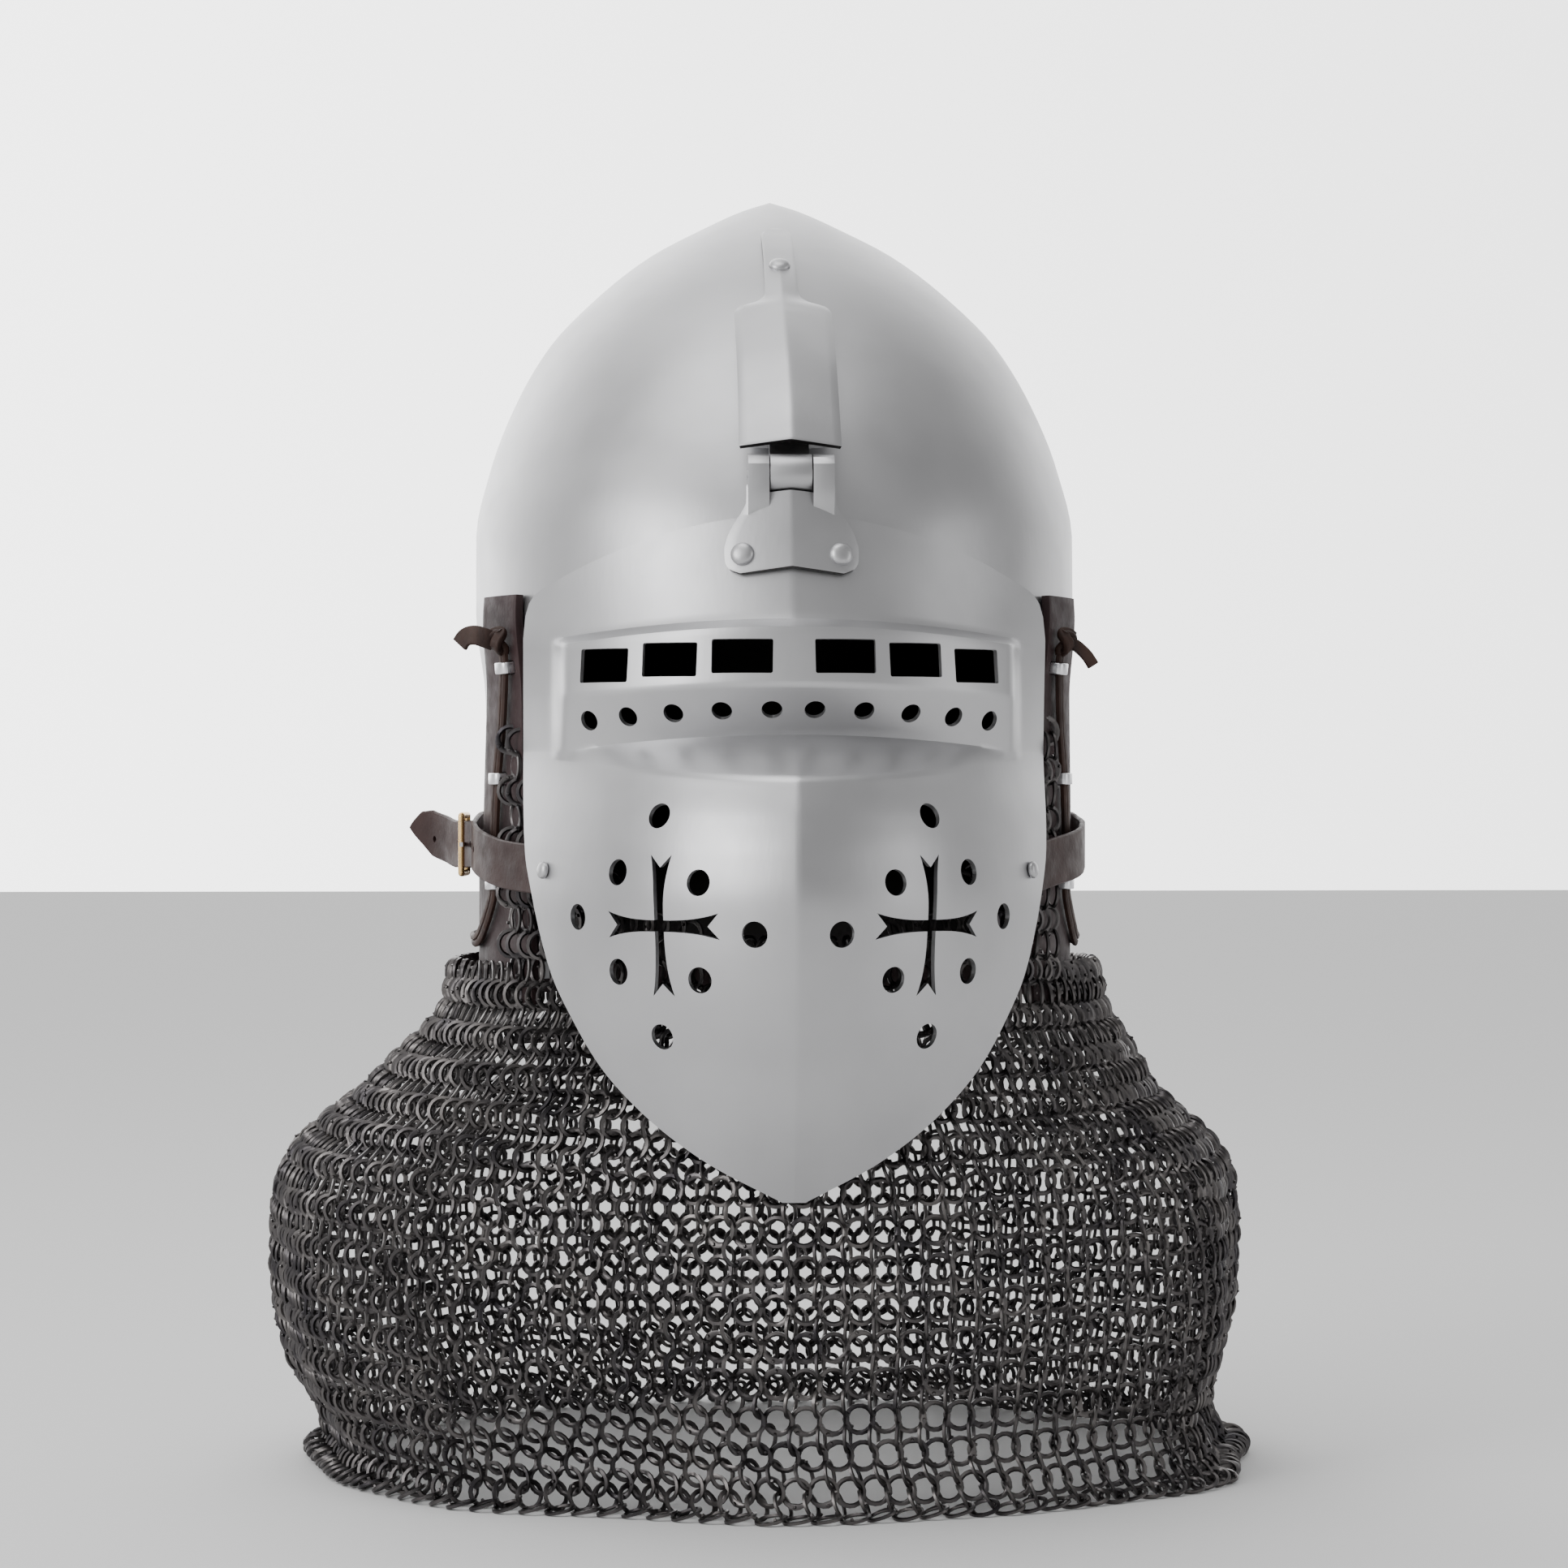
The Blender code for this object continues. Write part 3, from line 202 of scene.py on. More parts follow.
def build_camera():
    camera = in_scene("camera", bpy.data.cameras.new("camera"))
    camera.data.sensor_width = 36
    camera.data.lens = 102.26
    camera.data.clip_start = .05
    sine, cosine = math.sin(CAMERA_TURN), math.cos(CAMERA_TURN)
    camera.location = (CAMERA_ASIDE * cosine - CAMERA_AWAY * sine,
                       -CAMERA_ASIDE * sine - CAMERA_AWAY * cosine, CAMERA_HEIGHT - SEAT_HEIGHT)
    camera.rotation_euler = (math.pi / 2, 0, -CAMERA_TURN)
    bpy.context.scene.camera = camera


def build_floor():
    corners = [(-FLOOR_HALF, -FLOOR_HALF, 0), (FLOOR_HALF, -FLOOR_HALF, 0),
               (FLOOR_HALF, FLOOR_HALF, 0), (-FLOOR_HALF, FLOOR_HALF, 0)]
    mesh = bpy.data.meshes.new("floor")
    mesh.from_pydata(corners, [], [(0, 1, 2, 3)])
    floor = in_scene("floor", mesh)
    floor.location.z = -SEAT_HEIGHT
    mesh.materials.append(node_tree("paper", (.66, .66, .66), 0, .9)[0])


def build_lights():
    world = bpy.data.worlds.new("studio")
    world.use_nodes = True
    tree = world.node_tree
    sky = tree.nodes["Background"]
    sky.inputs["Color"].default_value = (1, 1, 1, 1)
    where = tree.nodes.new("ShaderNodeTexCoord")
    parts = tree.nodes.new("ShaderNodeSeparateXYZ")
    tree.links.new(where.outputs["Generated"], parts.inputs["Vector"])
    product = tree.nodes.new("ShaderNodeMath")
    product.operation = "MULTIPLY"
    for k, (axis, bounds) in enumerate(SKY):
        tree.links.new(ranged(tree, parts.outputs[axis], bounds, "SMOOTHSTEP"), product.inputs[k])
    tree.links.new(product.outputs["Value"], sky.inputs["Strength"])
    bpy.context.scene.world = world
    for light in LIGHTS:
        lamp = bpy.data.lights.new(light.name, "AREA")
        lamp.shape = "RECTANGLE"
        lamp.size = light.wide
        lamp.size_y = light.tall
        lamp.energy = light.power
        obj = in_scene(light.name, lamp)
        obj.location = light.place
        towards = Vector(light.aim) - Vector(light.place)
        obj.rotation_euler = towards.to_track_quat("-Z", "Y").to_euler()


# materials

LOOKS = {}
# name of the face attribute that carries the painted shade of inner faces and shadowed edges
PAINTED_SHADE_MARK = "inner"


def node_tree(name, colour, metallic, roughness):
    material = bpy.data.materials.new(name)
    material.use_nodes = True
    tree = material.node_tree
    shader = tree.nodes["Principled BSDF"]
    shader.inputs["Base Color"].default_value = (*colour, 1)
    shader.inputs["Metallic"].default_value = metallic
    shader.inputs["Roughness"].default_value = roughness
    material.diffuse_color = (*colour, 1)
    return material, tree, shader


def noise_texture(tree, scale, detail=3, stretch=(1, 1, 1)):
    where = tree.nodes.new("ShaderNodeTexCoord")
    mapping = tree.nodes.new("ShaderNodeMapping")
    mapping.inputs["Scale"].default_value = stretch
    tree.links.new(where.outputs["Object"], mapping.inputs["Vector"])
    texture = tree.nodes.new("ShaderNodeTexNoise")
    texture.inputs["Scale"].default_value = scale
    texture.inputs["Detail"].default_value = detail
    tree.links.new(mapping.outputs["Vector"], texture.inputs["Vector"])
    return texture.outputs["Fac"]


def spread(tree, value, low, high):
    return ranged(tree, value, (.3, .7, low, high))


def blend(tree, value, dark, light):
    ramp = tree.nodes.new("ShaderNodeValToRGB")
    ramp.color_ramp.elements[0].position = .3
    ramp.color_ramp.elements[1].position = .7
    ramp.color_ramp.elements[0].color = (*dark, 1)
    ramp.color_ramp.elements[1].color = (*light, 1)
    tree.links.new(value, ramp.inputs["Fac"])
    return ramp.outputs["Color"]


def bumps(tree, shader, layers):
    below = None
    for value, strength, distance in layers:
        bump = tree.nodes.new("ShaderNodeBump")
        bump.inputs["Strength"].default_value = strength
        bump.inputs["Distance"].default_value = distance
        tree.links.new(value, bump.inputs["Height"])
        if below is not None:
            tree.links.new(below, bump.inputs["Normal"])
        below = bump.outputs["Normal"]
    tree.links.new(below, shader.inputs["Normal"])


def make_steel():
    material, tree, shader = node_tree("satin_steel", (.50, .50, .51), 1.0, .40)
    # painted shade: faces marked in the face attribute get a near-black base colour in place of the steel's
    # tint
    painted_shade_node = tree.nodes.new("ShaderNodeAttribute")
    painted_shade_node.attribute_name = PAINTED_SHADE_MARK
    mix = tree.nodes.new("ShaderNodeMix")
    mix.data_type = "RGBA"
    tree.links.new(painted_shade_node.outputs["Fac"], mix.inputs["Factor"])
    tint = blend(tree, noise_texture(tree, 14, 4), (.46, .46, .47), (.55, .55, .56))
    tree.links.new(tint, mix.inputs["A"])
    # the painted shade's near-black colour
    mix.inputs["B"].default_value = (.030, .028, .028, 1)
    tree.links.new(mix.outputs["Result"], shader.inputs["Base Color"])
    tree.links.new(spread(tree, noise_texture(tree, 30, 5), .36, .45), shader.inputs["Roughness"])
    bumps(tree, shader, (
        (noise_texture(tree, 18, 2), .12, .002),
        (noise_texture(tree, 90, 3, (6, 6, 1)), .05, .0006),
    ))
    return material


def make_iron():
    material, tree, shader = node_tree("blackened_iron", (.10, .09, .09), 1.0, .36)
    tree.links.new(blend(tree, noise_texture(tree, 60, 3), (.045, .042, .046), (.15, .14, .136)),
                   shader.inputs["Base Color"])
    tree.links.new(spread(tree, noise_texture(tree, 400, 2), .28, .46), shader.inputs["Roughness"])
    return material


def make_leather(name, dark, light, roughness, stretch):
    material, tree, shader = node_tree(name, dark, 0.0, roughness)
    shader.inputs["Specular IOR Level"].default_value = .28
    tint = blend(tree, noise_texture(tree, 45, 5, stretch), dark, light)
    tree.links.new(tint, shader.inputs["Base Color"])
    tree.links.new(spread(tree, noise_texture(tree, 160, 3), roughness - .08, roughness + .1),
                   shader.inputs["Roughness"])
    bumps(tree, shader, (
        (noise_texture(tree, 700, 3), .25, .0004),
        (noise_texture(tree, 120, 3, stretch), .25, .001),
    ))
    return material


def make_metal(name, colour, roughness):
    material, tree, shader = node_tree(name, colour, 1.0, roughness)
    tree.links.new(spread(tree, noise_texture(tree, 220, 3), roughness - .05, roughness + .08),
                   shader.inputs["Roughness"])
    return material


def mark_painted_shade(mesh, is_shaded):
    """Marks the faces of a wall's inner side and of its shadowed edges, which get painted shade: near-black
    steel.
    """
    marks = mesh.attributes.new(PAINTED_SHADE_MARK, "FLOAT", "FACE")
    for k, face in enumerate(mesh.polygons):
        marks.data[k].value = 1.0 if is_shaded(face.center, face.normal) else 0.0


def make_looks():
    LOOKS["steel"] = make_steel()
    LOOKS["mail_iron"] = make_iron()
    for name, dark, light, roughness, stretch in (
            ("band_leather", (.019, .010, .011), (.041, .023, .024), .60, (1, 1, 1)),
            ("strap_leather", (.026, .013, .012), (.052, .028, .025), .52, (1, 1, 1)),
            ("lace_leather", (.020, .010, .008), (.050, .025, .018), .58, (4, 4, 1))):
        LOOKS[name] = make_leather(name, dark, light, roughness, stretch)
    for name, colour, roughness in (("white_metal", (.80, .80, .82), .30), ("brass", (.83, .56, .25), .24)):
        LOOKS[name] = make_metal(name, colour, roughness)


# meshes

def place(x, depth, height):
    return Vector((x, -depth, height - SEAT_HEIGHT))


def raised(height):
    return Vector((0, 0, height))


def heading(vector):
    """The vector's direction seen from above."""
    return Vector((vector.x, vector.y, 0)).normalized()


def mixed(one, two, share):
    return one + (two - one) * share


def clamped(value):
    return min(1, max(0, value))


def eased_in(share):
    return share * share * (3 - 2 * share)


def add(name, mesh, slot, angle, nodes=()):
    obj = in_scene(name, mesh)
    obj.data.materials.clear()
    obj.data.materials.append(LOOKS[slot])
    smooth(obj, angle)
    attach(obj, "root")
    if nodes:
        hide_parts(*nodes)
    return obj


def smooth(obj, angle):
    mesh = obj.data
    mesh.polygons.foreach_set("use_smooth", [True] * len(mesh.polygons))
    mesh.set_sharp_from_angle(angle=math.radians(angle))


def grid_mesh(name, rows, closed=False, keep=None):
    points = [p for row in rows for p in row]
    wide = len(rows[0])
    faces = []
    for i in range(len(rows) - 1):
        for j in range(wide if closed else wide - 1):
            k = (j + 1) % wide
            if keep is None or keep(i, j):
                faces.append((i * wide + j, (i + 1) * wide + j, (i + 1) * wide + k, i * wide + k))
    mesh = bpy.data.meshes.new(name)
    mesh.from_pydata(points, [], faces)
    bm = bmesh.new()
    bm.from_mesh(mesh)
    bmesh.ops.remove_doubles(bm, verts=bm.verts, dist=1e-6)
    bmesh.ops.delete(bm, geom=[v for v in bm.verts if not v.link_faces], context="VERTS")
    bm.to_mesh(mesh)
    bm.free()
    return mesh


def baked(name, mesh, wall=0, side=-1, cutters=(), bevel=0, segments=2, angle=30, union=()):
    """The mesh with its wall, cuts and softened edges worked in."""
    obj = in_scene(name, mesh)
    if wall:
        solid = obj.modifiers.new("wall", "SOLIDIFY")
        solid.thickness = wall
        solid.offset = side
        solid.use_even_offset = True
        solid.use_quality_normals = True
    tools = []
    for operation, meshes in (("UNION", union), ("DIFFERENCE", cutters)):
        for tool_mesh in meshes:
            tool = in_scene("tool", tool_mesh)
            tools.append(tool)
            cut = obj.modifiers.new("cut", "BOOLEAN")
            cut.operation = operation
            cut.solver = "EXACT"
            cut.object = tool
    if bevel:
        soft = obj.modifiers.new("soft", "BEVEL")
        soft.width = bevel
        soft.segments = segments
        soft.limit_method = "ANGLE"
        soft.angle_limit = math.radians(angle)
    done = bpy.data.meshes.new_from_object(obj.evaluated_get(bpy.context.evaluated_depsgraph_get()))
    done.name = name
    for item in [obj] + tools:
        bpy.data.objects.remove(item)
    return done


def mesh_from(bm, name, matrix=None):
    """Turns the faces outward, places them and writes them to a new mesh."""
    bmesh.ops.recalc_face_normals(bm, faces=bm.faces)
    if matrix is not None:
        bmesh.ops.transform(bm, matrix=matrix, verts=bm.verts)
    mesh = bpy.data.meshes.new(name)
    bm.to_mesh(mesh)
    bm.free()
    return mesh


def skin(bm, rings, closed=False):
    """Faces between neighbouring rings of points, with caps unless the rings close on themselves."""
    after = rings[1:] + rings[:1] if closed else rings[1:]
    for one, two in zip(rings, after):
        for k in range(len(one)):
            n = (k + 1) % len(one)
            bm.faces.new((one[k], one[n], two[n], two[k]))
    if not closed:
        bm.faces.new(rings[0])
        bm.faces.new(rings[-1])


def joined(name, meshes):
    bm = bmesh.new()
    for mesh in meshes:
        bm.from_mesh(mesh)
    mesh = bpy.data.meshes.new(name)
    bm.to_mesh(mesh)
    bm.free()
    return mesh


def axes(point, normal, up=Vector((0, 0, 1))):
    z = normal.normalized()
    x = up.cross(z).normalized()
    y = z.cross(x)
    matrix = Matrix((x, y, z)).transposed().to_4x4()
    matrix.translation = point
    return matrix


def prism(outline, low, high, matrix):
    bm = bmesh.new()
    face = bm.faces.new([bm.verts.new((x, y, low)) for x, y in outline])
    grown = bmesh.ops.extrude_face_region(bm, geom=[face])
    for item in grown["geom"]:
        if isinstance(item, bmesh.types.BMVert):
            item.co.z = high
    return mesh_from(bm, "prism", matrix)


def turned(profile, matrix, steps=32):
    bm = bmesh.new()
    line = [bm.verts.new((r, 0, z)) for r, z in profile]
    for a, b in zip(line, line[1:]):
        bm.edges.new((a, b))
    bmesh.ops.spin(bm, geom=bm.verts[:] + bm.edges[:], angle=2 * math.pi, steps=steps, axis=(0, 0, 1),
                   cent=(0, 0, 0), use_merge=True)
    bmesh.ops.remove_doubles(bm, verts=bm.verts, dist=1e-6)
    return mesh_from(bm, "turned", matrix)


def disc(radius, sides=28):
    angles = [2 * math.pi * k / sides for k in range(sides)]
    return [(radius * math.cos(a), radius * math.sin(a)) for a in angles]


def rounded_block(half_x, half_y, corner, steps=4):
    points = []
    for cx, cy, start in ((1, 1, 0), (-1, 1, 90), (-1, -1, 180), (1, -1, 270)):
        for k in range(steps + 1):
            angle = math.radians(start + 90 * k / steps)
            points.append((cx * (half_x - corner) + corner * math.cos(angle),
                           cy * (half_y - corner) + corner * math.sin(angle)))
    return points


def track(table, column, height):
    xs = table["height"][::-1]
    ys = table[column][::-1]
    if height <= xs[0]:
        return ys[0]
    if height >= xs[-1]:
        return ys[-1]
    i = max(k for k in range(len(xs) - 1) if xs[k] <= height)

    def slope(k):
        if k <= 0 or k >= len(xs) - 1:
            k = min(max(k, 0), len(xs) - 2)
            return (ys[k + 1] - ys[k]) / (xs[k + 1] - xs[k])
        left = (ys[k] - ys[k - 1]) / (xs[k] - xs[k - 1])
        right = (ys[k + 1] - ys[k]) / (xs[k + 1] - xs[k])
        return 0 if left * right <= 0 else 2 * left * right / (left + right)

    step = xs[i + 1] - xs[i]
    t = (height - xs[i]) / step
    return ((1 + 2 * t) * (1 - t) ** 2 * ys[i] + t * (1 - t) ** 2 * step * slope(i)
            + t * t * (3 - 2 * t) * ys[i + 1] + t * t * (t - 1) * step * slope(i + 1))


SKULL_STEP = (.01, .001)
VISOR_STEP = (.002, .002)
BOX_STEP = (.002, .001)
CROSS_STEP = (.010, .010)


def normal_of(surface, u, height, step):
    du, dh = step
    across = surface(u + du, height) - surface(u - du, height)
    up = surface(u, height + dh) - surface(u, height - dh)
    return across.cross(up).normalized()


def axes_on(surface, u, height, step):
    """Axes at a point of a surface, with z along its normal."""
    return axes(surface(u, height), normal_of(surface, u, height, step))


# skull

def skull_extent(height):
    share = (height - RIM) / SKULL_TALL
    front = (SKULL_FRONT + SKULL_POINT) * track(SKULL, "front", share) - SKULL_POINT
    back = (SKULL_BACK - SKULL_POINT) * track(SKULL, "back", share) + SKULL_POINT
    return SKULL_HALF * track(SKULL, "half_width", share), front, back


def skull_point(turn, height):
    half, front, back = skull_extent(height)
    x = half * math.sin(turn)
    depth = (front - back) / 2 + (front + back) / 2 * math.cos(turn)
    if math.cos(turn) > 0:
        share = (height - RIM) / SKULL_TALL
        depth += RIDGE * math.exp(-(x / (SKULL_HALF * .1)) ** 2) * clamped((.973 - share) / .067)
    return place(x, depth, height)


def skull_lifted(turn, height, lift):
    return skull_point(turn, height) + normal_of(skull_point, turn, height, SKULL_STEP) * lift


def turn_at(depth, height):
    front, back = skull_extent(height)[1:]
    return math.acos(max(-1, min(1, (depth - (front - back) / 2) / ((front + back) / 2))))


def front_line(height):
    point = skull_point(0, height)
    slope = (skull_point(0, height - .004) - skull_point(0, height + .004)).normalized()
    return point, Vector((0, slope.z, -slope.y))


def build_skull():
    columns = 144
    turns = [2 * math.pi * k / columns for k in range(columns)]
    shares = [1 - .0028 * k ** 1.45 for k in range(70) if .0028 * k ** 1.45 < 1]
    heights = [RIM + SKULL_TALL * s for s in shares] + [RIM]
    mesh = grid_mesh("skull_bowl", [[skull_point(t, h) for t in turns] for h in heights], closed=True)
    low = RIM - .08
    far = -SKULL_FRONT - .03
    side = [(far, low), (far, OPENING_TOP), (-OPENING_DEPTH - .012, OPENING_TOP),
            (-OPENING_DEPTH - .004, OPENING_TOP - .003), (-OPENING_DEPTH, OPENING_TOP - .011),
            (-OPENING_DEPTH, low)]
    across = Matrix(((0, 0, 1, 0), (1, 0, 0, 0), (0, 1, 0, -SEAT_HEIGHT), (0, 0, 0, 1)))
    opening = prism(side, -SKULL_HALF - .02, SKULL_HALF + .02, across)
    mesh = baked("skull_bowl", mesh, wall=SKULL_WALL, cutters=[opening])
    heart = Vector((0, 0, RIM + SKULL_TALL * .35 - SEAT_HEIGHT))
    # painted shade: the bowl's inner faces, inside the helmet, are marked for near-black steel
    mark_painted_shade(mesh, lambda centre, normal: normal.dot((centre - heart).normalized()) < -.3)
    return add("skull_bowl", mesh, "steel", 40, ["skull"])


# visor

def fall(x, keel, bow, cheek):
    u = abs(x) / SKULL_HALF
    return SKULL_FRONT * (keel * u + bow * u ** 2 + cheek * u ** 4)


def visor_level(share):
    return VISOR_TOP - VISOR_TALL * (1 - share)


def visor_share(height):
    return 1 - (VISOR_TOP - height) / VISOR_TALL


def plain_depth(x, height):
    share = visor_share(height)
    keel, bow, cheek = (track(VISOR, column, share) for column in ("keel", "bow", "cheek"))
    return SKULL_FRONT + VISOR_DEPTH * track(VISOR, "centre", share) - fall(x, keel, bow, cheek)


def line_depth(line, x):
    return SKULL_FRONT + VISOR_DEPTH * line.centre - fall(x, line.keel, line.bow, line.cheek)


def line_height(line, x):
    return visor_level(line.level + line.rise * (min(abs(x), BOX_HALF) / SKULL_HALF) ** 2)


def top_height(x):
    drop = max(0.0, abs(x) - (VISOR_HALF * VISOR["half"][1] - CORNER))
    arch = VISOR_TALL * .1715 * (x / SKULL_HALF) ** 2
    return VISOR_TOP - arch - CORNER + math.sqrt(max(0, CORNER ** 2 - drop ** 2))


def visor_point(x, height):
    return place(x, plain_depth(x, height), height)


def box_point(x, height):
    top, foot, crease = BOX_LINES
    upper, lower = (top, foot) if height > line_height(foot, x) else (foot, crease)
    span = line_height(upper, x) - line_height(lower, x)
    share = (line_height(upper, x) - height) / span
    return place(x, mixed(line_depth(upper, x), line_depth(lower, x), share), height)


def stations():
    spans = ((0, BOX_HALF, 52), (BOX_HALF, BOX_FOOT, 3), (BOX_FOOT, VISOR_HALF, 8))
    half = [0]
    for low, high, count in spans:
        half += [low + (high - low) * k / count for k in range(1, count + 1)]
    return [-x for x in reversed(half[1:])] + half


def box_proud(x):
    """1 on the sight box, falling to 0 across its side wall."""
    return clamped((BOX_FOOT - abs(x)) / (BOX_FOOT - BOX_HALF))


def visor_rows():
    xs = stations()
    narrow = [x * VISOR["half"][1] for x in xs]
    top, foot, crease = BOX_LINES
    rows = []
    count = 22
    for k in range(count):
        share = k / count
        line = narrow if share < .5 else xs
        row = []
        for n, x in zip(narrow, xs):
            height = top_height(n) * (1 - share) + line_height(FOOT_LINE, x) * share
            row.append(visor_point(mixed(n, x, share), height))
        rows.append(row)
    key = ((FOOT_LINE, 0, 3), (top, 1, 14), (foot, 1, 12), (crease, 1, 11), (NOSE_LINE, 0, 0))
    for (upper, upper_proud, steps), (lower, lower_proud, _) in zip(key, key[1:]):
        for k in range(steps):
            share = k / steps
            row = []
            for x in xs:
                ends = []
                for line, proud in ((upper, upper_proud), (lower, lower_proud)):
                    height = line_height(line, x)
                    depth = plain_depth(x, height)
                    if proud:
                        depth += (line_depth(line, x) - depth) * box_proud(x)
                    ends.append((height, depth))
                (h0, d0), (h1, d1) = ends
                row.append(place(x, mixed(d0, d1, share), mixed(h0, h1, share)))
            rows.append(row)
    count = 96
    for k in range(count + 1):
        share = k / count
        row = []
        for x in xs:
            start = line_height(NOSE_LINE, x)
            level = visor_share(start) * (1 - share)
            row.append(visor_point(x * track(VISOR, "half", level), visor_level(level)))
        rows.append(row)
    return rows


def relaxed(rows, rounds, share):
    """Rounds off creases a little; the outer edge stays where it is."""
    points = np.array([[tuple(p) for p in row] for row in rows])
    for _ in range(rounds):
        inner = points[1:-1, 1:-1]
        mean = (points[:-2, 1:-1] + points[2:, 1:-1] + points[1:-1, :-2] + points[1:-1, 2:]) / 4
        points[1:-1, 1:-1] = inner + (mean - inner) * share
    return [[Vector(p) for p in row] for row in points]


def cross_outline():
    points = []
    steps = 8
    for quarter in range(4):
        reach = CROSS_RISE if quarter % 2 == 0 else CROSS_ARM
        arm = []
        for k in range(steps + 1):
            share = k / steps
            half = mixed(CROSS_WAIST, CROSS_SPLAY, share ** 2.6)
            arm.append((half, mixed(CROSS_WAIST, reach, share)))
        arm.append((CROSS_SPLAY * .42, reach - CROSS_SPLAY * .55))
        arm.append((0, reach - CROSS_SPLAY * .95))
        arm += [(-x, y) for x, y in reversed(arm[:-1])]
        turn = quarter * math.pi / 2
        points += [(x * math.cos(turn) - y * math.sin(turn), x * math.sin(turn) + y * math.cos(turn))
                   for x, y in arm[:-1]]
    return points


def visor_axes(side, spot, step):
    return axes_on(visor_point, side * spot.x * VISOR_HALF, visor_level(spot.height), step)


def piercings():
    meshes = []
    for side in (-1, 1):
        for slot in SLOTS:
            x = side * BOX_HALF * (slot.inner + slot.outer) / 2
            height = (line_height(BOX_LINES[0], x) + line_height(BOX_LINES[1], x)) / 2
            normal = normal_of(box_point, x, height, BOX_STEP)
            half = BOX_HALF * (slot.outer - slot.inner) / 2 * math.hypot(normal.x, normal.y) / abs(normal.y)
            meshes.append(prism(rounded_block(half, SLOT_TALL / 2, .0007), -.012, .006,
                                axes(box_point(x, height), normal)))
        for share in BREATHS:
            x = side * BOX_HALF * share
            height = (line_height(BOX_LINES[1], x) + line_height(BOX_LINES[2], x)) / 2
            meshes.append(prism(disc(BREATH_RADIUS), -.010, .005, axes_on(box_point, x, height, BOX_STEP)))
        for hole in HOLES:
            meshes.append(prism(disc(HOLE_RADIUS), -.010, .006, visor_axes(side, hole, VISOR_STEP)))
        meshes.append(prism(cross_outline(), -.014, .012, visor_axes(side, CROSS, CROSS_STEP)))
    return joined("piercings", meshes)


def build_visor():
    rows = relaxed(visor_rows(), 1, .38)
    mesh = baked("visor_plate", grid_mesh("visor_plate", rows), wall=VISOR_WALL, cutters=[piercings()])
    # painted shade: the visor's inner faces are marked for near-black steel
    mark_painted_shade(mesh, lambda centre, normal: normal.dot(heading(centre)) < -.25)
    return add("visor_plate", mesh, "steel", 38, ["visor"])


# hinge

def pin_depth():
    return -skull_point(0, PIN_HEIGHT).y + KNUCKLE_RADIUS + .0012


def along_pin(radius, low, high, sides=40):
    matrix = Matrix(((0, 0, 1, 0), (1, 0, 0, -pin_depth()), (0, 1, 0, PIN_HEIGHT - SEAT_HEIGHT),
                     (0, 0, 0, 1)))
    return prism(disc(radius, sides), low, high, matrix)


COVER = {
    "height": (.9400, .9345, .9265, .8960, .8725, .8490, .8330, .8230, .8154, .8070, .7987, .7617, .7181,
               .6210),
    "stand":  (.06, .06, .08, .12, .14, .16, .17, .18, .20, .23, .27, .47, .70, 1.0),
    "half":   (.00, .76, 1.0, 1.0, 1.0, 1.0, 1.05, 1.60, 2.70, 3.00, 3.02, 3.02, 3.02, 3.06),
    "crown":  (.00, .00, .00, .00, .10, .22, .32, .44, .54, .62, .70, .83, .91, 1.0),
}
ACROSS = (0, .03, .07, .14, .28, .46, .64, .82, 1)
ACROSS = tuple(-a for a in ACROSS[:0:-1]) + ACROSS


def keel_fall(across):
    """Fall from a keel that is only just rounded."""
    return math.sqrt(across * across + .0009)


def level_prism(outline, low, high):
    """A prism along x from an outline of (depth, height) points."""
    across = Matrix(((0, 0, 1, 0), (-1, 0, 0, 0), (0, 1, 0, -SEAT_HEIGHT), (0, 0, 0, 1)))
    return prism(outline, low, high, across)


